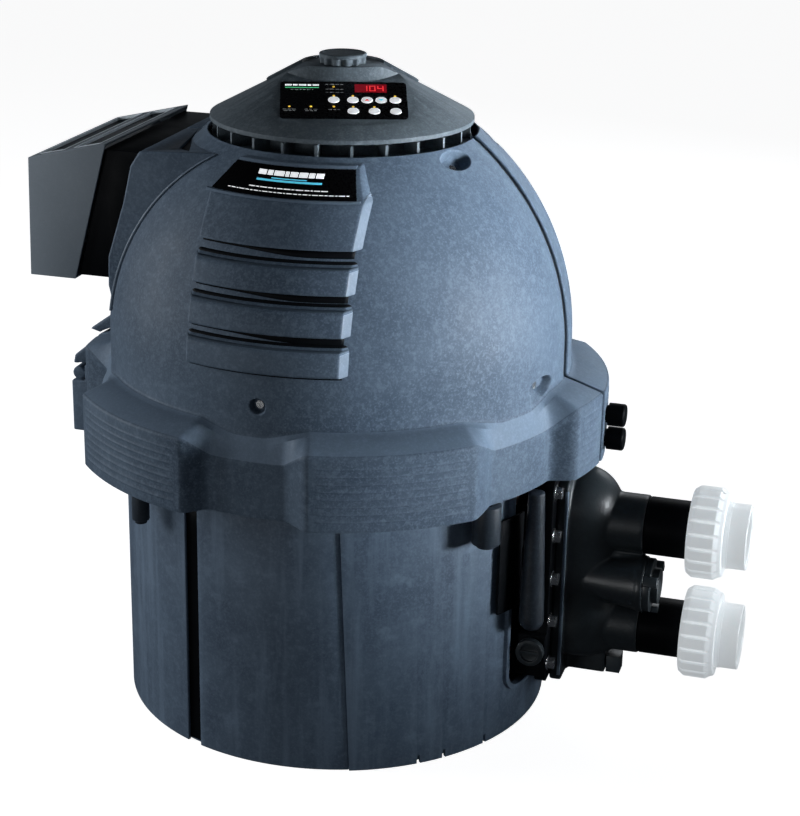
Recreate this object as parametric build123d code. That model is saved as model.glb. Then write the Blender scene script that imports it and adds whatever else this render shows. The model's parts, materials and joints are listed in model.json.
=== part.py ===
from build123d import *
import os
from math import atan, cos, degrees, radians, sin, sqrt

# Gas pool heater: round tub, two-part domed jacket with a castellated collar, turning control cap,
# side exhaust hood and a two-port water header with union couplings.
# Millimetres. The origin is the centre of the tub's foot, +Z is up, -Y is the front,
# +X is the water side. Azimuths are degrees from the front, positive towards +X.

# --- driving dimensions -------------------------------------------------------------------------
TUB_R = 244.0             # outside radius of the lower tub
TUB_WALL = 4.0
TUB_TOP = 300.0
GROOVE_AZ = (-24.8, -20.5)          # open groove between the left and front tub panels
STEP_X_TOP, STEP_X_FOOT = 75.6, 87.7  # leaning joint between the front and right tub panels
PORT_HALF_Y = 93.0        # half width of the tub opening round the water header
PORT_FOOT = 55.0

DOME_R = 258.0            # upright part of the jacket, above the collar
DOME_SPRING = 430.0       # height where the upright wall turns into the dome arc
DOME_ARC = 286.0          # radius of the dome's section
DOME_ARC_CENTRE = DOME_R - DOME_ARC
JACKET_WALL = 4.0
BACK_PROUD = 3.0          # the back jacket stands this far outside the front one
SEAM_FRONT, SEAM_BACK = 2.0, 7.0    # facing edges of the two jacket halves, along Y
MOUTH_FRONT_R, MOUTH_BACK_R = 148.5, 151.0
COLLAR_FOOT = 302.0
RECESS_R = 270.0
# each block: outer start, outer end, start and end at the recess wall, outside radius
FRONT_BLOCKS = ((-92.0, -82.5, -92.0, -79.5, 305.0), (-51.0, -15.5, -58.0, -12.5, 298.0),
                (11.0, 46.5, 6.5, 53.5, 294.0), (78.0, 92.0, 75.0, 92.0, 305.0))
BACK_BLOCKS = ((86.0, 125.0, 86.0, 129.0, 305.0), (145.0, 215.0, 141.0, 219.0, 305.0),
               (235.0, 274.0, 231.0, 274.0, 305.0))
RIBS = 8

CAP_RIM_R = 144.0
CAP_RIM_Z = 673.0
CAP_TOP_R, CAP_TOP_Z = 42.0, 727.2
CAP_WALL = 3.5
CAP_TURN = 19.0           # the cap is turned this far towards the viewer at rest
FACET_TILT = degrees(atan(0.337))
FACET_Z = 718.9           # height where the facet plane crosses the cap's axis
FACET_FRONT_R = 122.0
HUB_WALL_R, HUB_WALL_Y = 92.0, 65.0
KEYPAD_W, KEYPAD_L, KEYPAD_T = 134.0, 74.0, 2.4
KEYPAD_MID = 66.5         # slope distance from the axis to the keypad's centre
KEY_R, KEY_CLEAR = 6.0, 0.35
KEYS = ((-10.4, 68.0), (9.7, 68.0), (24.6, 68.0), (39.5, 68.0), (54.4, 68.0),
        (9.7, 91.0), (32.0, 91.0), (54.3, 91.0))
DISPLAY_MID, DISPLAY_SIZE = (31.0, 42.8), (34.0, 17.4)
KNOB_R, KNOB_TOP = 26.0, 739.0
SPINDLE_R, RUNNING = 8.0, 0.05

HOOD_SECTION = ((-324.0, 490.0), (-321.0, 622.0), (-229.0, 644.0), (-270.0, 490.0))
HOOD_HALF_Y = 117.0
HOOD_SHEET = 2.5
BULGE_SECTION = ((-60.0, 648.0), (-185.0, 642.0), (-194.0, 628.0), (-205.0, 586.0),
                 (-225.0, 522.0), (-226.0, 490.0), (-220.0, 462.0), (-60.0, 440.0))
BULGE_HALF_Y = 128.0

PIPE_Z = (236.0, 114.4)   # the two water ports
PIPE_R, PIPE_BORE = 32.5, 26.0
HUB_END_X, NUT_X0, NUT_X1, TAIL_END_X = 362.0, 411.0, 450.0, 475.0
NUT_R, TAIL_R = 51.5, 36.5
SOCKET_R, SOCKET_DEPTH = 30.15, 38.0  # nominal 2 inch pipe socket
SEAT_END_X = 430.0
PLATE_X0, PLATE_X1 = 256.0, 268.0
FLANGE_X1 = 281.0
BRANCH_Y, BRANCH_Z = -25.0, 175.2
PASSAGE_X, PASSAGE_Y, PASSAGE_R = 304.0, 0.0, 20.0
BOLT_Y, BOLT_Z, BOLT_PITCH = 63.0, 183.5, 51.5

PLUG_Y, PLUG_Z = 26.0, (352.0, 324.0)
BLOWER_R, BLOWER_Z0, BLOWER_Z1 = 110.0, 336.0, 410.0
GAS_X, GAS_Z = 150.0, 345.0


# --- helpers ------------------------------------------------------------------------------------
def at(radius, azimuth, z=0.0):
    """Point at a radius and azimuth round the heater's axis."""
    return (radius * sin(radians(azimuth)), -radius * cos(radians(azimuth)), z)


def turn(points):
    """Solid of revolution about Z from a closed outline of (radius, height) points."""
    return revolve(Plane.XZ * make_face(Polyline(*points, close=True)), Axis.Z)


def slab(points, y0, y1):
    """Prism along Y from a closed outline of (x, z) points."""
    return Pos(0, y1, 0) * extrude(Plane.XZ * make_face(Polyline(*points, close=True)), y1 - y0)


def block(x0, x1, y0, y1, z0, z1):
    return Pos((x0 + x1) / 2, (y0 + y1) / 2, (z0 + z1) / 2) * Box(x1 - x0, y1 - y0, z1 - z0)


def rod_x(radius, x0, x1, y, z):
    return Pos((x0 + x1) / 2, y, z) * Rot(0, 90, 0) * Cylinder(radius, x1 - x0)


def rod_y(radius, y0, y1, x, z):
    return Pos(x, (y0 + y1) / 2, z) * Rot(90, 0, 0) * Cylinder(radius, y1 - y0)


def rod_z(radius, z0, z1, x=0.0, y=0.0):
    return Pos(x, y, (z0 + z1) / 2) * Cylinder(radius, z1 - z0)


def tube_z(outer, inner, z0, z1, x=0.0, y=0.0):
    return rod_z(outer, z0, z1, x, y) - rod_z(inner, z0 - 1, z1 + 1, x, y)


def sector(angles, radius, z0, z1, inset=0.0):
    """Upright prism between two azimuths, its sides leaning in between the recess and block faces."""
    outer0, outer1, inner0, inner1 = angles
    rim = [outer0 + inset + (outer1 - outer0 - 2 * inset) * i / 8 for i in range(9)]
    ring = [at(250, inner0 + inset), at(RECESS_R, inner0 + inset), at(radius, rim[0])]
    ring += [at(420, a) for a in rim]
    ring += [at(radius, rim[-1]), at(RECESS_R, inner1 - inset), at(250, inner1 - inset)]
    outline = [(p[0], p[1]) for p in ring]
    return Pos(0, 0, z0) * extrude(make_face(Polyline(*outline, close=True)), z1 - z0)


def wedge(a0, a1, z0, z1):
    """Upright prism from the axis outwards between two azimuths."""
    ring = [(0, 0)]
    for i in range(9):
        p = at(420, a0 + (a1 - a0) * i / 8)
        ring.append((p[0], p[1]))
    return Pos(0, 0, z0) * extrude(make_face(Polyline(*ring, close=True)), z1 - z0)


def dome_radius(z, offset=0.0):
    if z <= DOME_SPRING:
        return DOME_R + offset
    return DOME_ARC_CENTRE + sqrt((DOME_ARC + offset) ** 2 - (z - DOME_SPRING) ** 2)


def dome_solid(offset, foot, mouth_r):
    """Everything under the dome surface moved out by offset, up to the ring at radius mouth_r."""
    arc = DOME_ARC + offset
    top = DOME_SPRING + sqrt(arc ** 2 - (mouth_r - DOME_ARC_CENTRE) ** 2)
    mid_z = (DOME_SPRING + top) / 2
    base = DOME_R + offset
    outline = Polyline((mouth_r, top), (0, top), (0, foot), (base, foot), (base, DOME_SPRING))
    outline += ThreePointArc((base, DOME_SPRING), (dome_radius(mid_z, offset), mid_z), (mouth_r, top))
    return revolve(Plane.XZ * make_face(outline), Axis.Z)


def facet():
    """Location on the cap's flat facet: x across, y up the slope, z out of the face."""
    tilt = radians(FACET_TILT)
    return Plane(origin=(0, 0, FACET_Z), x_dir=(1, 0, 0), z_dir=(0, -sin(tilt), cos(tilt)))


def turned(shape):
    return Rot(0, 0, CAP_TURN) * shape


# --- tub ----------------------------------------------------------------------------------------
def base_pan():
    pan = turn(((0, 0), (238, 0), (238, 10), (226, 10), (226, 5), (0, 5)))
    for a in range(0, 360, 60):
        p = at(115, a)
        pan += Pos(p[0], p[1], 7.5) * Rot(0, 0, a) * Box(12, 210, 5)
    return pan


def tub_shell(proud=0.0):
    return tube_z(TUB_R + proud, TUB_R + proud - TUB_WALL, 0, TUB_TOP)


def step_joint(shift, side):
    """Half space on one side of the leaning joint between the front and right panels."""
    far = 420.0 * side
    outline = ((STEP_X_FOOT + shift, 0), (STEP_X_TOP + shift, TUB_TOP), (far, TUB_TOP), (far, 0))
    return slab(outline, -420, 420)


def tub_front_panel():
    return tub_shell() & wedge(GROOVE_AZ[1], 60, 0, TUB_TOP) & step_joint(-0.4, -1)


def tub_left_panel():
    panel = tub_shell() & step_joint(-0.4, -1)
    return panel - wedge(GROOVE_AZ[0], 60, -1, TUB_TOP + 1)


def port_outline(grow):
    """Rounded opening in the tub's water side, open at the top under the collar."""
    half, foot = PORT_HALF_Y + grow, PORT_FOOT - grow
    shape = block(150, 300, -half, half, foot, TUB_TOP + 40)
    return fillet(shape.edges().filter_by(Axis.X).sort_by(Axis.Z)[:2], 18 + grow)


def tub_right_panel():
    panel = tub_shell(1.6) & step_joint(0.4, 1)
    rim = tube_z(TUB_R + 5.6, TUB_R - 1, PORT_FOOT - 5, TUB_TOP) & port_outline(5.0)
    panel = panel + rim - port_outline(0.0)
    for a in (39.3, 46.6, 60.0):
        p = at(TUB_R, a)
        panel -= Pos(p[0], p[1], 4) * Rot(0, 0, a) * Box(4, 20, 12)
    return panel


def combustion_tank():
    tank = turn(((0, 12), (236, 12), (236, 290), (238, 290), (238, 295), (230, 295), (230, 17), (0, 17)))
    return tank - block(150, 260, -68, 68, 54, 292)


def tank_insulation():
    sleeve = tube_z(228, 212, 20, 288)
    return sleeve - block(150, 260, -66, 66, 54, 300)


def heat_exchanger_coil():
    coil = []
    for i in range(6):
        z = 84 + 38 * i
        loop = Pos(0, 0, z) * Torus(172, 11)
        loop = loop - block(100, 240, -50, 50, z - 20, z + 20)
        legs = [rod_x(11, 160, 224, y, z) for y in (-54, 54)]
        fins = []
        for k in range(24):
            a = 110 + 320 * k / 23
            p = at(172, a)
            fins.append(Pos(p[0], p[1], z) * Rot(0, 0, a) * Rot(0, 90, 0) * Cylinder(17, 2))
        coil.append(Compound([loop]).solids()[0].fuse(*[f for f in legs + fins]))
    return Compound(coil)


def burner():
    can = tube_z(62, 59.5, 110, 296) + rod_z(62, 106, 110)
    for row in range(5):
        for k in range(8):
            p = at(61, 45 * k + 22.5 * (row % 2), 135 + 32 * row)
            can -= Pos(*p) * Rot(0, 0, 45 * k + 22.5 * (row % 2)) * Rot(90, 0, 0) * Cylinder(6, 8)
    return can


def tank_lid():
    lid = rod_z(236, 296, 301) - rod_z(58, 290, 310)
    lid -= block(-184, -116, -54, 54, 290, 310)
    return lid - rod_z(5.2, 290, 310, 0, -90)


# --- jacket -------------------------------------------------------------------------------------
def collar_ring(outer, wall_r, proud):
    """Thin ring of the recesses, with its sloping shoulder up to the dome."""
    top = DOME_R + proud
    return turn(((outer, COLLAR_FOOT), (outer, 363), (top, 387), (top - 4, 387), (top - 4, 384),
                 (wall_r, 360), (wall_r, COLLAR_FOOT)))


def collar_block(place, proud):
    """One hollow block of the castellated collar, open underneath."""
    angles, outer = place[:4], place[4]
    top = DOME_R + proud
    skin = turn(((top - 3, COLLAR_FOOT), (outer - 3, COLLAR_FOOT), (outer, COLLAR_FOOT + 3), (outer, 380),
                 (outer - 3, 384), (top + 6, 396), (top, 402), (top - 3, 402)))
    core = turn(((top - 8, 295), (outer - 4, 295), (outer - 4, 379), (top + 4, 391), (top - 8, 394)))
    body = skin & sector(angles, outer, 290, 410)
    body -= core & sector(angles, outer, 290, 410, 0.9)
    for k in range(RIBS):
        z = 314 + 8.2 * k
        rib = turn(((outer - 1, z), (outer + 0.8, z + 0.5), (outer + 0.8, z + 2.2), (outer - 1, z + 2.7)))
        body += rib & sector(angles, outer, 290, 410, 2.5)
    return body


def bulge(inset):
    """Boxy shoulder on the exhaust side that carries the hood."""
    moved = []
    for x, z in BULGE_SECTION:
        lift = inset if z < 500 else -inset
        moved.append((x + (inset if x < -100 else 0), z + lift))
    half = BULGE_HALF_Y - inset
    return slab(moved, -half, half)


def duct_hole():
    return block(-280, -150, -90, 90, 506, 624)


def half_space(front):
    if front:
        return block(-420, 420, -420, SEAM_FRONT, 290, 700)
    return block(-420, 420, SEAM_BACK, 420, 290, 700)


LOUVERS = (((0, 578), (13, 580), (12, 619), (8, 624), (5, 649), (0, 653)),
           ((0, 537), (12, 539), (12, 560), (0, 567)),
           ((0, 497), (12, 499), (12, 521), (0, 528)),
           ((0, 457), (11, 459), (12, 482), (0, 488.5)))
# seen from the front: upright sides, then tapering in beside the name plate
LOUVER_FACE = ((-90, 440), (88, 440), (88, 621), (72, 649), (72, 660), (-62, 660), (-62, 649), (-90, 621))


def louver(outline):
    """Raised shingle that follows the dome, between its two sides."""
    points = []
    for i, (off, z) in enumerate(outline):
        points.append((dome_radius(z) + off - (1.5 if off == 0 else 0), z))
        last = outline[(i + 1) % len(outline)]
        if off > 0 and last[0] > 0:
            mid = (z + last[1]) / 2
            points.append((dome_radius(mid) + (off + last[0]) / 2, mid))
    shingle = turn(points)
    return shingle & slab(LOUVER_FACE, -330, -60)


def pocket_place(azimuth, z, offset):
    """Plane on the jacket surface, x along the horizontal, z outwards."""
    slope = 0.0 if z <= DOME_SPRING else (z - DOME_SPRING) / (DOME_ARC + offset)
    rise = sqrt(1 - slope ** 2)
    normal = (rise * sin(radians(azimuth)), -rise * cos(radians(azimuth)), slope)
    along = (cos(radians(azimuth)), sin(radians(azimuth)), 0)
    return Plane(origin=at(dome_radius(z, offset), azimuth, z), x_dir=along, z_dir=normal)


# each screw pocket: azimuth, height, half width and half height
POCKETS_FRONT = ((65.0, 643.0, 20.0, 9.0), (74.0, 410.0, 24.0, 9.0), (-1.0, 420.0, 8.0, 8.0))
POCKETS_BACK = ((106.0, 410.0, 24.0, 9.0), (-106.0, 410.0, 24.0, 9.0), (115.0, 640.0, 20.0, 9.0))


def add_pockets(shell, pockets, offset):
    for azimuth, z, a, b in pockets:
        place = pocket_place(azimuth, z, offset)
        cup = extrude(Ellipse(a + 2.5, b + 2.5), -13)
        hole = Pos(0, 0, -10.5) * extrude(Ellipse(a, b), 30)
        shell = shell + place * (Pos(0, 0, -2) * cup) - place * hole
    return shell


def front_jacket():
    foot = 384.0
    outer = dome_solid(0, foot, MOUTH_FRONT_R) + (bulge(0) & block(-420, 0, -200, 200, 430, 700))
    for outline in LOUVERS:
        outer += louver(outline)
    inner = dome_solid(-JACKET_WALL, foot - 2, MOUTH_FRONT_R - 12) + rod_z(MOUTH_FRONT_R - 6, 500, 690)
    inner += bulge(JACKET_WALL) & block(-420, 0, -200, 200, 430, 700)
    shell = outer - inner - rod_z(MOUTH_FRONT_R - 6, 600, 700) - duct_hole()
    shell += collar_ring(RECESS_R, RECESS_R - 4, 0)
    for place in FRONT_BLOCKS:
        shell += collar_block(place, 0)
    shell = shell & half_space(True)
    return add_pockets(shell, POCKETS_FRONT, 0.0)


def back_jacket():
    foot = 384.0
    outer = dome_solid(BACK_PROUD, foot, MOUTH_BACK_R) + (bulge(0) & block(-420, 0, -200, 200, 430, 700))
    inner = dome_solid(BACK_PROUD - 5, foot - 2, MOUTH_BACK_R - 14)
    inner += bulge(JACKET_WALL) & block(-420, 0, -200, 200, 430, 700)
    shell = outer - inner - rod_z(MOUTH_BACK_R, 600, 700) - duct_hole()
    shell += collar_ring(RECESS_R + 9, RECESS_R + 5, BACK_PROUD)
    for place in BACK_BLOCKS:
        shell += collar_block(place, BACK_PROUD)
    shell = shell & half_space(False)
    shell = add_pockets(shell, POCKETS_BACK, BACK_PROUD)
    for z in PLUG_Z:
        shell -= rod_x(10.3, 280, 320, PLUG_Y, z)
    shell -= rod_y(20, 200, 340, GAS_X, GAS_Z)
    return shell.solids().sort_by(SortBy.VOLUME)[-1]


def seam_seal():
    """Dark strip behind the gap between the jacket halves."""
    strip = dome_solid(-0.5, 403, 150) - dome_solid(-4.5, 400, 146) - rod_z(150, 600, 700)
    strip -= block(-300, -100, -50, 50, 430, 700)
    strip += turn(((263, 304), (284, 304), (284, 374), (250, 388), (250, 384), (263, 376)))
    strip += turn(((253.5, 384), (257.5, 384), (257.5, 405), (253.5, 405)))
    return strip & block(-420, 420, SEAM_FRONT + 0.3, SEAM_BACK - 0.3, 290, 700)


def badge_plate():
    """Blank name plate on the top louver."""
    z0, z1, z2 = 622.5, 635.5, 648.0
    gap, thick = 9.2, 10.8
    points = [(dome_radius(z) + gap - 2.9 * (z - 624) / 25, z) for z in (z0, z1, z2)]
    points += [(dome_radius(z) + thick - 2.9 * (z - 624) / 25, z) for z in (z2, z1, z0)]
    sides = slab(((-88, z0 - 5), (76, z0 - 5), (62, z2 + 5), (-60, z2 + 5)), -330, -60)
    return turn(points) & sides


def vent_ring():
    """Ring under the cap: radial fins, guard wall, three spokes and the cap's spindle."""
    ring = tube_z(117, 113, 652, 666) + tube_z(141.5, 113, 649, 652)
    for k in range(24):
        a = 15 * k + 7
        p = at(128, a)
        ring += Pos(p[0], p[1], 659) * Rot(0, 0, a) * Box(3, 26, 15)
    for k in range(3):
        p = at(62, 120 * k)
        ring += Pos(p[0], p[1], 655) * Rot(0, 0, 120 * k) * Box(14, 106, 6)
    ring += rod_z(24, 652, 671)
    return ring + rod_z(SPINDLE_R, 671, CAP_TOP_Z - 2)


def collar_posts():
    """Screw posts under the collar; the one nearest the front is slim."""
    posts = []
    for a, radius in ((54, 15.5), (-36, 9.5), (128, 15.5), (-128, 15.5)):
        p = at(265, a)
        post = tube_z(radius, radius * 0.4, 258, COLLAR_FOOT - 0.2, p[0], p[1])
        posts.append(post + rod_z(radius * 0.7, 254, 262, p[0], p[1]))
    return Compound(posts)


def jacket_screws():
    screws = []
    for azimuth, z, _, _ in POCKETS_FRONT:
        screws.append(pocket_place(azimuth, z, 0.0) * Pos(0, 0, -8.9) * Cylinder(4.2, 3))
    for azimuth, z, _, _ in POCKETS_BACK:
        screws.append(pocket_place(azimuth, z, BACK_PROUD) * Pos(0, 0, -8.9) * Cylinder(4.2, 3))
    return Compound(screws)


def junction_box():
    """Wiring housing behind the seam on the exhaust side."""
    box = block(-343, -307, 12, 92, 258, 322)
    box -= block(-340, -310, 15, 89, 261, 319)
    box += block(-326, -307, 12, 92, 322, 342) + rod_y(8, 14, 90, -334, 331)
    return box


def junction_box_lid():
    lid = slab(((-340, 343), (-338, 354), (-292, 392), (-278, 396), (-278, 380), (-320, 346)), 12, 92)
    lid += slab(((-317, 389), (-289, 409), (-276, 409), (-276, 390), (-298, 384)), 12, 92)
    lid -= turn(((0, 290), (307, 290), (307, 382), (303, 387), (273, 400), (267, 404), (0, 404)))
    return lid - dome_solid(BACK_PROUD + 0.4, 300, MOUTH_BACK_R)


def conduit_plugs():
    plugs = []
    for z in PLUG_Z:
        plug = rod_x(13, 307, 326, PLUG_Y, z) + rod_x(10, 299, 307, PLUG_Y, z)
        plugs.append(fillet(plug.edges().sort_by(Axis.X)[-1], 3))
    return Compound(plugs)


# --- exhaust ------------------------------------------------------------------------------------
def exhaust_hood():
    shell = slab(HOOD_SECTION, -HOOD_HALF_Y, HOOD_HALF_Y)
    inner = ((-321.5, 492.5), (-318.6, 620.0), (-226.0, 642.2), (-200.0, 642.2), (-240.0, 492.5))
    shell -= slab(inner, -HOOD_HALF_Y + HOOD_SHEET, HOOD_HALF_Y - HOOD_SHEET)
    for x0, x1 in ((-313, -283), (-271, -240)):
        shell -= block(x0, x1, -104, 104, 600, 660)
    return shell


def hood_duct():
    """Black adapter between the jacket's shoulder and the hood."""
    outline = ((-233, 637), (-191, 637), (-198, 627), (-206.5, 586.6), (-226.5, 522), (-227.5, 494), (-266, 494))
    body = slab(outline, -112, 112)
    hollow = ((-290, 633), (-150, 633), (-150, 498), (-290, 498))
    body -= slab(hollow, -108, 108)
    body -= dome_solid(BACK_PROUD + 0.5, 300, 60)
    return body - bulge(-0.3)


def flue_pipe():
    up = block(-180, -120, -50, 50, 301.3, 600)
    over = block(-196, -120, -50, 50, 540, 600)
    inside = block(-177, -123, -47, 47, 300, 597) + block(-200, -123, -47, 47, 543, 597)
    return up + over - inside


# --- water header -------------------------------------------------------------------------------
def tubesheet():
    plate = block(PLATE_X0, PLATE_X1, -72, 72, 58, 300)
    plate = fillet(plate.edges().filter_by(Axis.X), 8)
    plate += block(224, PLATE_X0, -62, 62, 60, 290)
    for y in (-54, 54):
        for i in range(6):
            plate -= rod_x(11.2, 220, 262, y, 84 + 38 * i)
    for z in PIPE_Z:
        plate -= rod_x(24, 220, 270, 0, z)
    plate += block(238, PLATE_X1, -82, -60, 86, 120) + rod_y(12, -84, -60, 253, 103)
    wing = tube_z(TUB_R + 9, TUB_R + 6.2, 158, 268) & wedge(61.5, 71.0, 150, 280)
    plate += wing + block(232, 242, -84, -60, 200, 226)
    for side in (-1, 1):
        for k in range(-2, 3):
            plate -= rod_x(5.2, 256.5, 270, side * BOLT_Y, BOLT_Z + BOLT_PITCH * k)
    return plate


def header():
    """One casting: flange, upper and lower chambers, two pipe hubs and the regulator branch."""
    body = block(PLATE_X1, FLANGE_X1, -50, 50, 50, 294)
    body = fillet(body.edges().filter_by(Axis.X), 10)
    upper = rod_z(47, 150, 249, 287, 0) + Pos(287, 0, 249) * Sphere(47)
    body += upper & slab(((275, 150), (334, 198), (345, 300), (275, 300)), -60, 60)
    lower = rod_z(46, 80, 176, 293, 0)
    lower = fillet(lower.edges().sort_by(Axis.Z)[0], 14)
    body += lower & slab(((275, 70), (345, 70), (345, 180), (275, 180)), -60, 60)
    body += block(290, HUB_END_X, -22, 4, 190, 206)
    for z in PIPE_Z:
        body += rod_x(33.6, 290, HUB_END_X, 0, z)
    cone = Pos((FLANGE_X1 - 4 + HUB_END_X) / 2, BRANCH_Y, BRANCH_Z)
    body += cone * Rot(0, 90, 0) * Cone(17, 30.5, HUB_END_X - FLANGE_X1 + 4)
    body += rod_x(31.5, HUB_END_X - 1, 368.5, BRANCH_Y, BRANCH_Z)
    body += block(278, 325, -14, 14, 52, 84)
    for z in PIPE_Z:
        body -= rod_x(PIPE_BORE, 260, 370, 0, z)
    body -= rod_z(PASSAGE_R, 120, 236, PASSAGE_X, PASSAGE_Y)
    body += tube_z(PASSAGE_R + 1, 14, 152, 155.5, PASSAGE_X, PASSAGE_Y)
    body += tube_z(PASSAGE_R + 1, 8, 200, 204, PASSAGE_X, PASSAGE_Y)
    body -= rod_x(18, 318, 372, BRANCH_Y, BRANCH_Z)
    return body - rod_x(7.2, 310, 330, 0, 62)


def header_bolts():
    bolts = []
    for side in (-1, 1):
        for k in range(-2, 3):
            y, z = side * BOLT_Y, BOLT_Z + BOLT_PITCH * k
            head = Pos(269, y, z) * Rot(0, 90, 0) * extrude(RegularPolygon(7.6, 6), 7.5)
            bolts.append(rod_x(5, 257, 270, y, z) + rod_x(9, PLATE_X1, 269.6, y, z) + head)
    return Compound(bolts)


def stub_pipes():
    return Compound([rod_x(PIPE_R, HUB_END_X, SEAT_END_X, 0, z) - rod_x(PIPE_BORE, 350, 440, 0, z)
                     for z in PIPE_Z])


def union_seats():
    """Threaded collars on the pipe ends, inside the nuts."""
    seats = []
    for z in PIPE_Z:
        seat = rod_x(40.6, 412.5, SEAT_END_X, 0, z) - rod_x(PIPE_R, 400, 440, 0, z)
        for k in range(4):
            seat += rod_x(42.4, 414 + 4 * k, 416 + 4 * k, 0, z) - rod_x(40, 410, 440, 0, z)
        seats.append(seat)
    return Compound(seats)


def union_seals():
    return Compound([Pos(431.25, 0, z) * Rot(0, 90, 0) * (Cylinder(37.5, 2.5) - Cylinder(31.5, 4))
                     for z in PIPE_Z])


def union_tailpieces():
    tails = []
    for z in PIPE_Z:
        tail = rod_x(TAIL_R, 432.5, TAIL_END_X, 0, z) + rod_x(41.5, 432.5, 438.5, 0, z)
        tail -= rod_x(PIPE_BORE, 430, 480, 0, z)
        tail -= rod_x(SOCKET_R, TAIL_END_X - SOCKET_DEPTH, 480, 0, z)
        tails.append(tail)
    return Compound(tails)


def union_nut(z):
    nut = rod_x(NUT_R - 2, NUT_X0, NUT_X1, 0, z)
    for k in range(20):
        a = radians(18 * k)
        nut += rod_x(6.5, NUT_X0 + 1.5, NUT_X1 - 6, (NUT_R - 6.5) * cos(a), z + (NUT_R - 6.5) * sin(a))
    nut -= rod_x(42.8, NUT_X0 - 1, 439, 0, z)
    return nut - rod_x(TAIL_R + 0.4, 430, 460, 0, z)


def branch_cap():
    cap = rod_x(30, 368.5, 376, BRANCH_Y, BRANCH_Z) + rod_x(20, 376, 384, BRANCH_Y, BRANCH_Z)
    for a in (30, 150, 270):
        y = BRANCH_Y + 27.5 * cos(radians(a))
        z = BRANCH_Z + 27.5 * sin(radians(a))
        cap += Pos(376, y, z) * Rot(a, 0, 0) * Box(16, 7, 11)
    return cap & block(368.5, 400, -80, 80, 100, 250)


def drain_plugs():
    round_plug = rod_y(15.5, -93, -84, 253, 103) - rod_y(10.5, -94, -90, 253, 103)
    round_plug += block(242, 264, -92, -88, 101, 105)
    square_plug = block(326, 342, -10, 10, 52, 72) + rod_x(7, 314, 326, 0, 62)
    return Compound([round_plug, square_plug])


def sensor_lead_cover():
    """Rubber boot over the temperature sensor leads."""
    boot = Pos(255, -98, 224) * Cone(14, 9, 150)
    return boot + Pos(255, -98, 149) * Sphere(14)


def bypass_valve():
    disc = rod_z(18, 156, 160, PASSAGE_X, PASSAGE_Y)
    return disc + rod_z(4, 145, 156, PASSAGE_X, PASSAGE_Y)


def bypass_spring():
    path = Pos(PASSAGE_X, PASSAGE_Y, 162) * Helix(pitch=6, height=36, radius=11)
    section = Plane(origin=path @ 0, z_dir=path % 0) * Circle(1.2)
    return sweep(section, path=path, is_frenet=True)


def thermal_governor():
    body = rod_x(12, 334, 352, BRANCH_Y, BRANCH_Z)
    return body + rod_x(5, 328, 360, BRANCH_Y, BRANCH_Z)


# --- burner drive and gas train -----------------------------------------------------------------
def blower_housing():
    outer = rod_z(BLOWER_R, BLOWER_Z0, BLOWER_Z1) + rod_x(33, 90, 180, 60, 372)
    outer += rod_z(46, 301.3, BLOWER_Z0)
    inner = rod_z(BLOWER_R - 3, BLOWER_Z0 + 3, BLOWER_Z1 - 3) + rod_x(30, 60, 190, 60, 372)
    inner += rod_z(43, 300, BLOWER_Z0 + 10)
    return outer - inner - rod_z(20, BLOWER_Z1 - 10, BLOWER_Z1 + 10)


def blower_motor():
    motor = tube_z(54, SPINDLE_R + RUNNING, BLOWER_Z1 + 0.2, 470)
    motor += rod_z(54, 470, 476)
    for k in range(16):
        p = at(56, 22.5 * k)
        motor += Pos(p[0], p[1], 445) * Rot(0, 0, 22.5 * k) * Box(3, 8, 46)
    return motor


def blower_impeller():
    wheel = rod_z(95, 346, 349) + rod_z(SPINDLE_R, 346, 460) + rod_z(16, 346, 370)
    for k in range(12):
        p = at(70, 30 * k)
        wheel += Pos(p[0], p[1], 370) * Rot(0, 0, 30 * k + 25) * Box(2.5, 46, 46)
    return wheel


def air_gas_mixer():
    body = rod_x(38, 180.3, 206, 60, 372) - rod_x(26, 170, 198, 60, 372)
    return body + rod_y(10, 92, 111.5, 195, 372) - rod_y(7, 85, 120, 195, 372)


def gas_valve():
    body = block(115, 180, 112, 184, GAS_Z - 35, GAS_Z + 35)
    body = fillet(body.edges().filter_by(Axis.Z), 8)
    body += rod_z(20, GAS_Z + 35, GAS_Z + 62, 135, 165)
    body -= rod_z(5 + RUNNING, GAS_Z + 20, GAS_Z + 40, 168, 135)
    body -= rod_y(13.4, 178, 200, GAS_X, GAS_Z)
    return body


def gas_valve_switch():
    knob = rod_z(11, GAS_Z + 35.5, GAS_Z + 46, 168, 135) + rod_z(5, GAS_Z + 24, GAS_Z + 36, 168, 135)
    return knob + block(165.5, 170.5, 121, 149, GAS_Z + 38, GAS_Z + 51)


def gas_pipe():
    pipe = rod_y(13.3, 178.5, 270, GAS_X, GAS_Z) - rod_y(10.5, 170, 281, GAS_X, GAS_Z)
    socket = rod_y(18, 268, 306, GAS_X, GAS_Z) - rod_y(10.5, 260, 284, GAS_X, GAS_Z)
    return pipe + socket - rod_y(12.2, 284, 310, GAS_X, GAS_Z)


def igniter():
    body = rod_z(5, 262, 330, 0, -90) + rod_z(11, 301.2, 306, 0, -90)
    return body + block(-2, 2, -94, -86, 215, 262)


def ignition_module():
    body = block(-60, 60, -205, -165, 330, 420)
    body = fillet(body.edges().filter_by(Axis.Y), 6)
    return body + block(-40, 40, -212, -205, 350, 400) + block(-50, 50, -192, -178, 301.2, 330)


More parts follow.
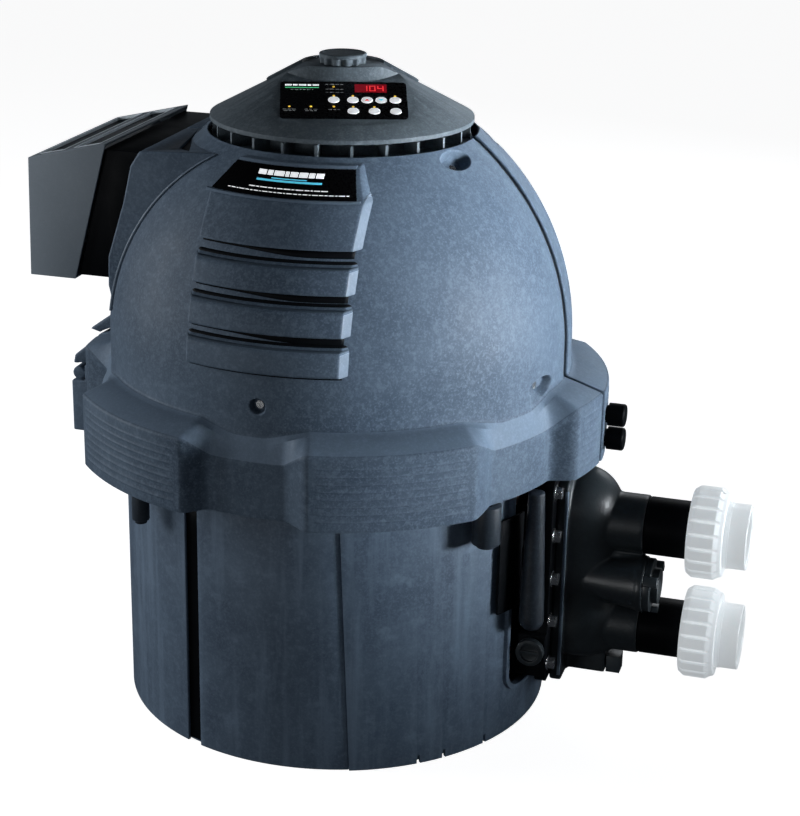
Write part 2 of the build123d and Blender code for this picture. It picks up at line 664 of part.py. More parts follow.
# --- control cap --------------------------------------------------------------------------------
def cap_cone(drop):
    slope = (CAP_TOP_Z - CAP_RIM_Z) / (CAP_RIM_R - CAP_TOP_R)
    rim_r = CAP_RIM_R - drop * 0.6
    rim_z = CAP_RIM_Z - drop * 1.1
    top_z = rim_z + slope * (rim_r - CAP_TOP_R)
    foot = rim_z - 4.5 - drop
    return turn(((0, foot), (rim_r, foot), (rim_r, rim_z), (CAP_TOP_R, top_z), (0, top_z)))


def facet_cut(sink, grow):
    """Pocket above the flat facet, between the hub wall and the front arc."""
    above = facet() * Pos(0, 0, 60 - sink) * Box(400, 400, 120)
    pocket = above & rod_z(FACET_FRONT_R + grow, 600, 760) & block(-150, 150, -150, 40, 600, 760)
    return pocket - rod_z(HUB_WALL_R - grow, 590, 770, 0, HUB_WALL_Y)


def control_cap():
    cap = cap_cone(0) - facet_cut(0, 0)
    cap -= cap_cone(CAP_WALL) - facet_cut(CAP_WALL, CAP_WALL)
    cap += tube_z(15, SPINDLE_R + RUNNING, 672, CAP_TOP_Z) + rear_step()
    return turned(cap - rod_z(SPINDLE_R + RUNNING, 660, 740))


def rear_step():
    """Raised plate moulded on the back half of the cone, behind the knob."""
    slope = (CAP_TOP_Z - CAP_RIM_Z) / (CAP_RIM_R - CAP_TOP_R)
    z_out = CAP_RIM_Z + slope * (CAP_RIM_R - 82)
    z_in = CAP_RIM_Z + slope * (CAP_RIM_R - 44)
    plate = turn(((44, z_in - 1), (82, z_out - 1), (83, z_out + 2.5), (45, z_in + 3.4)))
    return plate & block(-120, 120, 6, 120, 690, 760)


def keypad_plate():
    plate = Box(KEYPAD_W, KEYPAD_L, KEYPAD_T)
    plate = fillet(plate.edges().filter_by(Axis.Z), 5)
    plate = Pos(0, -KEYPAD_MID, 0.2 + KEYPAD_T / 2) * plate
    for u, s in KEYS:
        plate -= Pos(u, -s, 1.9) * Cylinder(KEY_R + KEY_CLEAR, 2.6)
    u, s = DISPLAY_MID
    plate -= Pos(u - 2, -s, KEYPAD_T) * Box(DISPLAY_SIZE[0], DISPLAY_SIZE[1], 2)
    for u, s in light_places():
        plate -= Pos(u, -s, KEYPAD_T) * Cylinder(1.3, 2)
    return turned(facet() * plate)


def light_places():
    """Small indicator lamps: one above each mode key, plus the status lamps on the left."""
    lamps = [(-10.4, 59.4), (9.7, 59.4), (54.4, 59.4), (9.7, 82.3), (32.0, 82.3)]
    return lamps + [(-10.4, 82.3), (-10.4, 40.2), (-57.0, 82.5), (-34.6, 82.5)]


def display_window():
    u, s = DISPLAY_MID
    return turned(facet() * Pos(u - 2, -s, 2.0) * Box(DISPLAY_SIZE[0], DISPLAY_SIZE[1], 1.2))


def indicator_lights():
    return turned(Compound([facet() * Pos(u, -s, 2.2) * Cylinder(1.3, 1.6) for u, s in light_places()]))


def control_key(u, s):
    key = Cylinder(KEY_R, 1.8)
    key = fillet(key.edges().sort_by(Axis.Z)[-1], 0.5)
    return turned(facet() * Pos(u, -s, 2.4 + 0.2) * key)


def control_board():
    board = Pos(0, -64, -9) * Box(118, 52, 1.6)
    for u, s, w, l in ((-35, 60, 24, 18), (20, 72, 30, 12), (38, 52, 12, 12)):
        board += Pos(u, -s, -6.7) * Box(w, l, 3)
    return turned(facet() * board)


def clamp_knob():
    knob = rod_z(KNOB_R - 1.5, CAP_TOP_Z + 0.3, KNOB_TOP)
    for k in range(16):
        p = at(KNOB_R - 4, 22.5 * k)
        knob += rod_z(4, CAP_TOP_Z + 0.3, KNOB_TOP - 1, p[0], p[1])
    return knob


# --- write every node ---------------------------------------------------------------------------
NODES = {
    "base_pan": base_pan, "tub_front_panel": tub_front_panel, "tub_left_panel": tub_left_panel,
    "tub_right_panel": tub_right_panel, "combustion_tank": combustion_tank,
    "tank_insulation": tank_insulation, "heat_exchanger_coil": heat_exchanger_coil,
    "burner": burner, "tank_lid": tank_lid, "front_jacket": front_jacket,
    "back_jacket": back_jacket, "seam_seal": seam_seal, "badge_plate": badge_plate,
    "vent_ring": vent_ring, "collar_posts": collar_posts, "jacket_screws": jacket_screws,
    "junction_box": junction_box, "junction_box_lid": junction_box_lid,
    "conduit_plugs": conduit_plugs, "exhaust_hood": exhaust_hood, "hood_duct": hood_duct,
    "flue_pipe": flue_pipe, "tubesheet": tubesheet, "header": header,
    "header_bolts": header_bolts, "stub_pipes": stub_pipes, "union_seats": union_seats,
    "union_seals": union_seals, "union_tailpieces": union_tailpieces, "branch_cap": branch_cap,
    "drain_plugs": drain_plugs, "sensor_lead_cover": sensor_lead_cover,
    "bypass_valve": bypass_valve, "bypass_spring": bypass_spring,
    "thermal_governor": thermal_governor, "blower_housing": blower_housing,
    "blower_motor": blower_motor, "blower_impeller": blower_impeller,
    "air_gas_mixer": air_gas_mixer, "gas_valve": gas_valve,
    "gas_valve_switch": gas_valve_switch, "gas_pipe": gas_pipe, "igniter": igniter,
    "ignition_module": ignition_module, "control_cap": control_cap,
    "keypad_plate": keypad_plate,
    "display_window": display_window, "indicator_lights": indicator_lights,
    "control_board": control_board, "clamp_knob": clamp_knob,
}


def write(name, shape):
    export_step(shape, f"parts/{name}.step")


os.makedirs("parts", exist_ok=True)
for name, make in NODES.items():
    write(name, make())
for number, (u, s) in enumerate(KEYS, start=1):
    write(f"key_{number}", control_key(u, s))
for name, z in (("upper_union_nut", PIPE_Z[0]), ("lower_union_nut", PIPE_Z[1])):
    write(name, union_nut(z))
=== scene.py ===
import json
from math import asin, cos, pi, radians, sin, sqrt

import bmesh
import bpy
from mathutils import Matrix, Vector


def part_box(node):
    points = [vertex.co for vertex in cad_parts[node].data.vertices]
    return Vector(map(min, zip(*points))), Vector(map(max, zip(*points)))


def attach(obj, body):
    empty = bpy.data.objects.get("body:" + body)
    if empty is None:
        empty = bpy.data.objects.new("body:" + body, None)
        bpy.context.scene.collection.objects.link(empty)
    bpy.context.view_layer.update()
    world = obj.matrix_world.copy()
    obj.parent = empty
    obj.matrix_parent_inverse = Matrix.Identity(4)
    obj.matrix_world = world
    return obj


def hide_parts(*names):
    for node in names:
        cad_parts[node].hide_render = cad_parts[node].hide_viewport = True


# Looks of the gas pool heater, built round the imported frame. Lengths in this file are millimetres
# in the heater's own frame, unless a comment says metres; mesh_object() turns them into metres.
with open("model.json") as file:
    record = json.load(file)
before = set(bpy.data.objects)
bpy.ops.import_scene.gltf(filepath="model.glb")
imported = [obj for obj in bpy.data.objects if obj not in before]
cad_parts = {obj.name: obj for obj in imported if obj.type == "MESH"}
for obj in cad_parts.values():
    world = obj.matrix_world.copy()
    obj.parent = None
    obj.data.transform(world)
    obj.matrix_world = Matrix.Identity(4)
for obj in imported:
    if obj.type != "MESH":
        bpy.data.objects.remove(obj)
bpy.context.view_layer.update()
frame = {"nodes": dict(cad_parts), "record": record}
MM = 0.001

# --- driving dimensions, the same as the frame's --------------------------------------------------
DOME_R, DOME_SPRING, DOME_ARC = 258.0, 430.0, 286.0
BACK_PROUD = 3.0
COLLAR_FOOT = 302.0
SEAM_FRONT, SEAM_BACK = 2.0, 7.0
MOUTH_FRONT, MOUTH_BACK = 148.5, 151.0
# collar blocks: start and end of the outer face, start and end where the sides meet the recess,
# and the outer face's radius at its start and end
FRONT_BLOCKS = ((-92.0, -82.5, -92.0, -79.5, 305.0, 303.0), (-51.0, -15.5, -58.0, -12.5, 299.5, 294.0),
                (11.0, 46.5, 6.5, 53.5, 294.0, 294.0), (78.0, 92.0, 75.0, 92.0, 295.0, 305.0))
BACK_BLOCKS = ((-94.0, -55.0, -94.0, -51.0, 305.0, 305.0), (-35.0, 35.0, -39.0, 39.0, 305.0, 305.0),
               (55.0, 94.0, 51.0, 94.0, 305.0, 305.0))
SHOULDER_SPREAD = 5.5     # degrees by which a recess narrows on each side, up its shoulder
CORNER_SOFT = 0.8         # degrees over which a block's corners are rounded
# screw pockets: azimuth from the half's middle, height, half width and half height
FRONT_POCKETS = ((66.0, 646.0, 21.0, 12.0), (74.0, 410.0, 24.0, 9.0), (-1.0, 420.0, 8.0, 8.0))
BACK_POCKETS = ((-74.0, 410.0, 24.0, 9.0), (74.0, 410.0, 24.0, 9.0), (-65.0, 640.0, 20.0, 9.0))
JACKET_WALL, LOUVER_WALL, SKIN_WALL, SKIN_LIFT = 3.6, 2.5, 0.3, 0.4
HOOD_SLOTS = ((-313.0, -283.0), (-271.0, -240.0))
SHOULDER_Y = 128.0        # how far the hood's shoulder reaches to the front and to the back
RIB_COUNT, RIB_FOOT, RIB_PITCH, RIB_OUT = 8, 314.0, 8.2, 0.5
CAP_TURN, FACET_SLOPE, FACET_Z = 19.0, 0.337, 718.9
PIPE_Z = (236.0, 114.4)


# --- helpers --------------------------------------------------------------------------------------
def at(radius, azimuth, z):
    """Point at an azimuth in degrees from the front, positive towards +X."""
    return Vector((radius * sin(radians(azimuth)), -radius * cos(radians(azimuth)), z))


def outwards(point, distance):
    """The point moved away from the heater's axis."""
    x, y, z = point
    grow = 1 + distance / sqrt(x * x + y * y)
    return Vector((x * grow, y * grow, z))


def smoothstep(low, high, value):
    t = min(max((value - low) / (high - low), 0.0), 1.0)
    return t * t * (3 - 2 * t)


def steps(start, end, step):
    """Evenly spaced values from start to end, both included."""
    count = max(1, round(abs(end - start) / step))
    return [start + (end - start) * i / count for i in range(count + 1)]


def merged(values, gap):
    """Sorted values with near neighbours dropped."""
    kept = []
    for v in sorted(values):
        if not kept or v - kept[-1] > gap:
            kept.append(v)
    return kept


def rounded(corners, count=5):
    """Open outline through corners, each (a, b) or (a, b, radius), with arcs at the given radii."""
    line = []
    last = len(corners) - 1
    for i, corner in enumerate(corners):
        p = Vector(corner[:2])
        if len(corner) < 3 or i in (0, last):
            line.append(p)
            continue
        before = Vector(corners[i - 1][:2]) - p
        after = Vector(corners[i + 1][:2]) - p
        half = before.angle(after) / 2
        wanted = corner[2] / max(sin(half) / cos(half), 0.05)
        reach = min(wanted, before.length * 0.48, after.length * 0.48)
        a = p + before.normalized() * reach
        b = p + after.normalized() * reach
        for k in range(count + 1):
            t = k / count
            line.append(a.lerp(p, t).lerp(p.lerp(b, t), t))
    return line


def finish_piece(obj, slot, body="heater", nodes=()):
    """Gives a piece its body, its slot's finish and the frame nodes that it stands in for."""
    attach(obj, body)
    obj.data.materials.clear()
    obj.data.materials.append(MATERIALS[slot])
    if nodes:
        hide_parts(*nodes)
    return obj


def placed(name, data):
    """A new object in the scene."""
    obj = bpy.data.objects.new(name, data)
    bpy.context.scene.collection.objects.link(obj)
    return obj


def mesh_object(name, points, faces):
    mesh = bpy.data.meshes.new(name)
    mesh.from_pydata([Vector(p) * MM for p in points], [], faces)
    mesh.validate()
    return placed(name, mesh)


def placed_bmesh(name, bm):
    """A new object from a bmesh in metres, which is freed."""
    mesh = bpy.data.meshes.new(name)
    bm.to_mesh(mesh)
    bm.free()
    return placed(name, mesh)


def shade(obj, angle):
    """Smooth shading, with edges sharper than the angle kept crisp."""
    obj.data.shade_smooth()
    obj.data.set_sharp_from_angle(angle=radians(angle))
    return obj


def thicken(obj, thickness):
    """Wall of this thickness behind a sheet's outer face."""
    mod = obj.modifiers.new("wall", "SOLIDIFY")
    mod.thickness = thickness * MM
    mod.offset = -1
    mod.use_even_offset = False
    return obj


def sheet_faces(rows, columns):
    faces = []
    for i in range(rows - 1):
        for j in range(columns - 1):
            k = i * columns + j
            faces.append((k, k + 1, k + columns + 1, k + columns))
    return faces


def sheet(name, grid):
    """Quad sheet through a grid of points; a row runs anticlockwise seen from outside."""
    points = [p for row in grid for p in row]
    return mesh_object(name, points, sheet_faces(len(grid), len(grid[0])))


def closed_ring(name, outline, place, count=96):
    """Closed ring: place(along, radius, angle) puts each point of the closed outline."""
    points = [place(a, r, 2 * pi * j / count) for a, r in outline for j in range(count)]
    total = len(outline)
    faces = []
    for i in range(total):
        n = (i + 1) % total
        for j in range(count):
            k = (j + 1) % count
            faces.append((i * count + j, n * count + j, n * count + k, i * count + k))
    return mesh_object(name, points, faces)


def face_outwards(obj):
    """Turns every face of a closed mesh outwards."""
    bm = bmesh.new()
    bm.from_mesh(obj.data)
    bmesh.ops.recalc_face_normals(bm, faces=bm.faces)
    bm.to_mesh(obj.data)
    bm.free()
    return obj


def join(name, objects):
    """One object out of several, in the order given."""
    bm = bmesh.new()
    for obj in objects:
        bm.from_mesh(obj.data)
        bpy.data.objects.remove(obj)
    return placed_bmesh(name, bm)


def bake_modifiers(obj):
    """The object's modifiers, applied to its mesh."""
    bpy.context.view_layer.update()
    graph = bpy.context.evaluated_depsgraph_get()
    mesh = bpy.data.meshes.new_from_object(obj.evaluated_get(graph))
    obj.modifiers.clear()
    obj.data = mesh
    return obj


def frame_copy(piece, name):
    """A clean, welded copy of the mesh of a piece of the frame, in metres."""
    source = frame["nodes"][piece].data
    bm = bmesh.new()
    for v in source.vertices:
        bm.verts.new(v.co)
    bm.verts.ensure_lookup_table()
    for polygon in source.polygons:
        corners = [bm.verts[i] for i in polygon.vertices]
        if bm.faces.get(corners) is None:
            bm.faces.new(corners)
    bmesh.ops.remove_doubles(bm, verts=bm.verts, dist=2e-5)
    return placed_bmesh(name, bm)


def softened(piece, slot, width, body="heater"):
    """The piece with its sharp edges rounded by width, as moulded, cast or pressed parts are."""
    obj = frame_copy(piece, piece + "_shell")
    bm = bmesh.new()
    bm.from_mesh(obj.data)
    bmesh.ops.dissolve_limit(bm, angle_limit=radians(0.6), verts=bm.verts, edges=bm.edges)
    bm.to_mesh(obj.data)
    bm.free()
    mod = obj.modifiers.new("round", "BEVEL")
    mod.width = width * MM
    mod.segments = 3
    mod.limit_method = "ANGLE"
    mod.angle_limit = radians(32)
    mod.use_clamp_overlap = True
    bake_modifiers(obj)
    shade(obj, 30)
    return finish_piece(obj, slot, body, (piece,))


def cast(piece, slot, voxel, smoothing):
    """The piece with every edge melted into a fillet, as a casting's are."""
    obj = frame_copy(piece, piece + "_casting")
    remesh = obj.modifiers.new("skin", "REMESH")
    remesh.mode = "VOXEL"
    remesh.voxel_size = voxel * MM
    smooth = obj.modifiers.new("melt", "SMOOTH")
    smooth.factor = 0.5
    smooth.iterations = smoothing
    bake_modifiers(obj)
    obj.data.shade_smooth()
    return finish_piece(obj, slot, nodes=(piece,))


# --- materials ------------------------------------------------------------------------------------
def node(tree, kind, inputs=None, **settings):
    made = tree.nodes.new(kind)
    for key, value in settings.items():
        setattr(made, key, value)
    for key, value in (inputs or {}).items():
        socket = made.inputs[key]
        if isinstance(value, bpy.types.NodeSocket):
            tree.links.new(value, socket)
        else:
            socket.default_value = value
    return made


def coords(tree, stretch=(1.0, 1.0, 1.0)):
    where = node(tree, "ShaderNodeTexCoord").outputs["Object"]
    return node(tree, "ShaderNodeMapping", {"Vector": where, "Scale": stretch}).outputs["Vector"]


def noise(tree, where, scale, detail=4.0, roughness=0.55):
    inputs = {"Vector": where, "Scale": scale, "Detail": detail, "Roughness": roughness}
    return node(tree, "ShaderNodeTexNoise", inputs).outputs["Fac"]


def remap(tree, value, low, high, new_low, new_high):
    inputs = {"Value": value, "From Min": low, "From Max": high, "To Min": new_low, "To Max": new_high}
    return node(tree, "ShaderNodeMapRange", inputs).outputs["Result"]


def blend(tree, factor, a, b):
    made = node(tree, "ShaderNodeMix", data_type="RGBA")
    for socket, value in ((made.inputs[0], factor), (made.inputs[6], a), (made.inputs[7], b)):
        if isinstance(value, bpy.types.NodeSocket):
            tree.links.new(value, socket)
        elif isinstance(value, float):
            socket.default_value = value
        else:
            socket.default_value = (*value, 1.0)
    return made.outputs[2]


def bump(tree, height, strength, distance, normal=None):
    inputs = {"Height": height, "Strength": strength, "Distance": distance * MM}
    if normal is not None:
        inputs["Normal"] = normal
    return node(tree, "ShaderNodeBump", inputs).outputs["Normal"]


def blank(name):
    material = bpy.data.materials.new(name)
    material.use_nodes = True
    tree = material.node_tree
    return material, tree, tree.nodes["Principled BSDF"]


def moulded(name, dark, light, rough, mottle=9.0, grain=420.0, grain_depth=0.25, streak=0.0, speck=0.5,
            sheen=0.0, specular=0.2, glow=0.0):
    """Moulded plastic: cloudy colour, fine grain in the surface, uneven gloss, a painted highlight on sharp
    convex edges, and with glow the colour also shines as painted light.
    """
    material, tree, shader = blank(name)
    where = coords(tree)
    cloud = remap(tree, noise(tree, where, mottle, 6.0, 0.62), 0.32, 0.68, 0.0, 1.0)
    colour = blend(tree, cloud, dark, light)
    if streak:
        long = noise(tree, coords(tree, (1.0, 1.0, 0.07)), 46.0, 5.0, 0.6)
        patch = noise(tree, where, 34.0, 8.0, 0.7)
        lit = tuple(c * 1.45 + 0.01 for c in light)
        colour = blend(tree, remap(tree, long, 0.5, 0.72, 0.0, streak), colour, lit)
        colour = blend(tree, remap(tree, patch, 0.56, 0.7, 0.0, streak * 0.8), colour, lit)
    fine = noise(tree, where, grain, 3.0, 0.6)
    coarse = noise(tree, where, grain * 0.36, 3.0, 0.7)
    speckled = tuple(c * 1.5 + 0.012 * min(1.0, c * 30) for c in light)
    colour = blend(tree, remap(tree, coarse, 0.48, 0.72, 0.0, speck * 0.8), colour, speckled)
    colour = blend(tree, remap(tree, fine, 0.5, 0.75, 0.0, speck), colour, speckled)
    # painted highlight: sharp convex edges, found by pointiness, are made paler
    edge_convexity = node(tree, "ShaderNodeNewGeometry").outputs["Pointiness"]
    edge_highlight = tuple(c * 2.0 + 0.02 * min(1.0, c * 30) for c in light)
    colour = blend(tree, remap(tree, edge_convexity, 0.515, 0.58, 0.0, 0.45), colour, edge_highlight)
    tree.links.new(colour, shader.inputs["Base Color"])
    gloss = remap(tree, noise(tree, where, 26.0, 4.0), 0.3, 0.7, rough - 0.05, rough + 0.07)
    tree.links.new(gloss, shader.inputs["Roughness"])
    wavy = bump(tree, noise(tree, where, 14.0, 2.0), 0.25, 2.0)
    normal = bump(tree, fine, grain_depth, 0.5, wavy)
    tree.links.new(normal, shader.inputs["Normal"])
    # painted light: glow makes the colour shine by itself, though these parts are no lamps
    if glow:
        tree.links.new(colour, shader.inputs["Emission Color"])
        shader.inputs["Emission Strength"].default_value = glow
    shader.inputs["Specular IOR Level"].default_value = specular
    shader.inputs["Sheen Weight"].default_value = sheen
    return material


def metal(name, dark, light, rough, scale=60.0, stretch=(1.0, 1.0, 1.0)):
    """Bare metal with brushed or cast unevenness and slight tarnish."""
    material, tree, shader = blank(name)
    where = coords(tree, stretch)
    cloud = noise(tree, where, scale, 6.0, 0.6)
    tarnish = remap(tree, cloud, 0.35, 0.7, 0.0, 1.0)
    tree.links.new(blend(tree, tarnish, light, dark), shader.inputs["Base Color"])
    tree.links.new(remap(tree, cloud, 0.3, 0.7, rough - 0.06, rough + 0.1), shader.inputs["Roughness"])
    fine = noise(tree, where, scale * 9, 3.0)
    tree.links.new(bump(tree, fine, 0.2, 0.2), shader.inputs["Normal"])
    shader.inputs["Metallic"].default_value = 1.0
    return material


def glowing(name, colour, strength):
    material, tree, shader = blank(name)
    pulse = noise(tree, coords(tree), 900.0, 2.0)
    tint = blend(tree, remap(tree, pulse, 0.3, 0.7, 0.0, 1.0), colour, tuple(c * 0.8 for c in colour))
    tree.links.new(tint, shader.inputs["Base Color"])
    tree.links.new(tint, shader.inputs["Emission Color"])
    shader.inputs["Emission Strength"].default_value = strength
    shader.inputs["Roughness"].default_value = 0.3
    return material


def glossy_panel(name, colour, rough, glow=0.0):
    """Printed polyester overlay with faint orange peel, lit from behind when it glows."""
    material, tree, shader = blank(name)
    where = coords(tree)
    peel = noise(tree, where, 260.0, 3.0)
    tint = blend(tree, noise(tree, where, 30.0), colour, tuple(c * 1.6 + 0.001 for c in colour))
    tree.links.new(tint, shader.inputs["Base Color"])
    if glow:
        tree.links.new(tint, shader.inputs["Emission Color"])
        shader.inputs["Emission Strength"].default_value = glow
    tree.links.new(remap(tree, peel, 0.3, 0.7, rough, rough + 0.08), shader.inputs["Roughness"])
    tree.links.new(bump(tree, peel, 0.1, 0.15), shader.inputs["Normal"])
    shader.inputs["Specular IOR Level"].default_value = 0.07
    return material


MATERIALS = {
    "jacket": moulded("jacket_plastic", (0.047, 0.069, 0.100), (0.081, 0.113, 0.154), 0.56, speck=0.65,
                      specular=0.14),
    "cap": moulded("cap_plastic", (0.054, 0.070, 0.083), (0.084, 0.103, 0.118), 0.56, speck=0.6,
                   specular=0.14),
    "tub": moulded("tub_plastic", (0.045, 0.065, 0.096), (0.078, 0.110, 0.152), 0.48, 16.0, streak=0.95),
    "black_plastic": moulded("black_plastic", (0.0015, 0.0018, 0.0024), (0.0035, 0.0042, 0.0052), 0.42,
                             speck=0.1, specular=0.04),
    "header_plastic": moulded("header_plastic", (0.0110, 0.0150, 0.0180), (0.0220, 0.0285, 0.0330), 0.36,
                              grain=260.0, grain_depth=0.5, speck=0.2, specular=0.5),
    "hood_metal": moulded("hood_paint", (0.132, 0.158, 0.184), (0.168, 0.197, 0.225), 0.50, 6.0,
                          grain=700.0, speck=0.2),
    # painted light: the white PVC glows though it is no lamp
    "white_pvc": moulded("white_pvc", (0.56, 0.59, 0.61), (0.63, 0.66, 0.67), 0.38, 12.0, speck=0.0,
                         specular=0.3, glow=0.62),
    "rubber": moulded("rubber", (0.004, 0.005, 0.006), (0.008, 0.010, 0.012), 0.45, speck=0.05),
    "stainless": metal("stainless", (0.52, 0.53, 0.54), (0.78, 0.79, 0.80), 0.22),
    "sheet_steel": metal("sheet_steel", (0.35, 0.36, 0.37), (0.55, 0.56, 0.57), 0.40, 30.0, (1.0, 1.0, 0.1)),
    "insulation": moulded("insulation", (0.45, 0.42, 0.34), (0.62, 0.58, 0.48), 0.85, 40.0, sheen=0.4),
    "copper": metal("copper", (0.48, 0.20, 0.11), (0.83, 0.42, 0.26), 0.28),
    "brass": metal("brass", (0.50, 0.36, 0.13), (0.78, 0.60, 0.27), 0.30),
    "cast_aluminium": metal("cast_aluminium", (0.38, 0.39, 0.40), (0.60, 0.61, 0.62), 0.45, 90.0),
    "igniter_ceramic": moulded("igniter_ceramic", (0.55, 0.53, 0.48), (0.70, 0.68, 0.62), 0.60, 40.0),
    "circuit": moulded("circuit", (0.010, 0.060, 0.025), (0.016, 0.090, 0.035), 0.40, 60.0),
    # painted light: the white keys and print glow though they are no lamp
    "key_white": moulded("key_white", (0.84, 0.86, 0.88), (0.92, 0.93, 0.94), 0.45, 60.0, speck=0.0,
                         glow=0.35),
    "display": glossy_panel("display_glass", (0.20, 0.004, 0.010), 0.12, glow=0.30),
    "lamp": glowing("lamp_amber", (0.95, 0.62, 0.06), 0.6),
}
# painted highlight: a pale finish for edges and beads, standing in for light catching them
PAINTED_HIGHLIGHT = moulded("painted_highlight_edge", (0.080, 0.110, 0.148), (0.122, 0.158, 0.204), 0.40, speck=0.3)
# painted shade for the rounded crests of the louvers' tops
SHADED = moulded("shaded_plastic", (0.016, 0.024, 0.036), (0.028, 0.040, 0.056), 0.50, speck=0.3,
                 specular=0.05)
DARK_SLATE = moulded("dark_slate", (0.010, 0.014, 0.020), (0.020, 0.027, 0.036), 0.40, specular=0.35)
PANEL = glossy_panel("overlay_black", (0.0012, 0.0012, 0.0015), 0.24)
# painted light: the blue print glows though it is no lamp
PRINT_BLUE = moulded("print_blue", (0.05, 0.42, 0.62), (0.10, 0.55, 0.75), 0.45, 60.0, speck=0.0, glow=0.3)
PRINT_GREY = moulded("print_grey", (0.22, 0.23, 0.24), (0.30, 0.31, 0.32), 0.45, 60.0, speck=0.0)
# painted light: the red and green print glows though it is no lamp
PRINT_RED = moulded("print_red", (0.45, 0.03, 0.03), (0.60, 0.06, 0.05), 0.45, 60.0, speck=0.0, glow=0.2)
PRINT_GREEN = moulded("print_green", (0.03, 0.30, 0.12), (0.06, 0.42, 0.18), 0.45, 60.0, speck=0.0, glow=0.3)
# painted highlight: pale finish for the hood's slot rims, standing in for light on their edges
RIM_HIGHLIGHT = moulded("rim_painted_highlight", (0.42, 0.47, 0.50), (0.58, 0.63, 0.67), 0.45, 30.0, speck=0.3)
DIGITS = glowing("digit_red", (0.95, 0.03, 0.04), 0.7)


def repaint(obj, material):
    obj.data.materials.clear()
    obj.data.materials.append(material)
    return obj


def paint_frame():
    """Every node of the frame gets the finish of its own slot."""
    for part in frame["record"]["subparts"]:
        repaint(frame["nodes"][part["node"]], MATERIALS[part["material_slot"]])


# --- jacket ---------------------------------------------------------------------------------------
def block_share(azimuth, blocks, widen):
    """1 on a collar block's face, 0 in a recess, sloping on the sides, with rounded corners."""
    def plain(a):
        share = 0.0
        for o0, o1, i0, i1, _, _ in blocks:
            start, end = i0 - widen, i1 + widen
            rise = (a - start) / (o0 - start) if o0 > start else float(a >= start)
            fall = (end - a) / (end - o1) if end > o1 else float(a <= end)
            share = max(share, min(rise, fall, 1.0))
        return max(share, 0.0)
    window = [plain(azimuth + CORNER_SOFT * k / 4) for k in range(-4, 5)]
    return sum(window) / len(window)


def face_radius(azimuth, blocks):
    """Radius of the outer face of the block nearest to an azimuth."""
    o0, o1, _, _, start, end = min(blocks, key=lambda b: max(b[0] - azimuth, azimuth - b[1]))
    return start + (end - start) * min(max((azimuth - o0) / (o1 - o0), 0.0), 1.0)


def rib_share(azimuth, blocks):
    """1 where a block's face carries ribs, fading out short of its corners."""
    share = 0.0
    for o0, o1 in (block[:2] for block in blocks):
        rise, fall = smoothstep(o0 + 1.9, o0 + 2.9, azimuth), smoothstep(o1 - 1.9, o1 - 2.9, azimuth)
        share = max(share, min(rise, fall))
    return share


def rib_height(z):
    k = round((z - RIB_FOOT) / RIB_PITCH)
    if not 0 <= k < RIB_COUNT:
        return 0.0
    return RIB_OUT * smoothstep(1.1, 0.4, abs(z - RIB_FOOT - RIB_PITCH * k))


def collar_rows(base, block, recess):
    """(block radius, block height, recess radius, recess height) from the foot to the dome."""
    ribs = [RIB_FOOT + RIB_PITCH * k + d for k in range(RIB_COUNT) for d in (-2.6, -1.1, -0.4, 0.4, 1.1)]
    face = merged(ribs + steps(306, 378, 4.0), 0.6)
    outer = rounded([(block - 2.5, COLLAR_FOOT), (block, COLLAR_FOOT, 2.0), (block, 306)], 3)
    outer += [Vector((block, z)) for z in face[1:]]
    ledge = [(block, 378), (block, 384, 5.0), (base + 8, 396, 0.0), (base, 399, 9.0), (base, 404)]
    outer += rounded(ledge, 6)[1:]
    inner = rounded([(recess - 2.5, COLLAR_FOOT), (recess, COLLAR_FOOT, 2.0), (recess, 306)], 3)
    inner += [Vector((recess, 306 + (z - 306) * 52 / 72)) for z in face[1:]]
    shoulder = [(recess, 358), (recess, 363, 3.5), (base + 4, 380, 0.0), (base, 388, 8.0), (base, 404)]
    inner += rounded(shoulder, 6)[1:]
    return [(a.x, a.y, b.x, b.y) for a, b in zip(outer, inner)]


def pocket_depth(pockets, azimuth, radius, height, slant):
    """How far an oval screw pocket sinks the surface here."""
    depth = 0.0
    for az, z, a, b in pockets:
        across = (azimuth - az) * pi / 180 * radius / a
        along = (height - z) / slant / b
        depth = max(depth, (b + 1.0) * smoothstep(1.10, 0.86, sqrt(across ** 2 + along ** 2)))
    return depth


def jacket_columns(base, blocks, pockets):
    """Azimuths of the shell's columns from its middle, close together where its shape changes."""
    columns = steps(-90, 90, 2.0)
    for o0, o1, i0, i1, _, _ in blocks:
        for corner in (o0, o1, i0, i1):
            columns += steps(corner - 1.25, corner + 1.25, 0.25)
        columns += steps(o0 + 1.7, o0 + 3.1, 0.28) + steps(o1 - 3.1, o1 - 1.7, 0.28)
        columns += steps(i0 - SHOULDER_SPREAD, i0, 1.0) + steps(i1, i1 + SHOULDER_SPREAD, 1.0)
    for az, z, a, _ in pockets:
        spread = a * 1.2 / (base if z < DOME_SPRING else 150) * 180 / pi
        columns += steps(az - spread, az + spread, 0.3)
    roll = [89.55, 89.75, 89.9, 90.0]
    inside = [c for c in merged(columns, 0.12) if abs(c) < 89.4]
    return [-c for c in reversed(roll)] + inside + roll


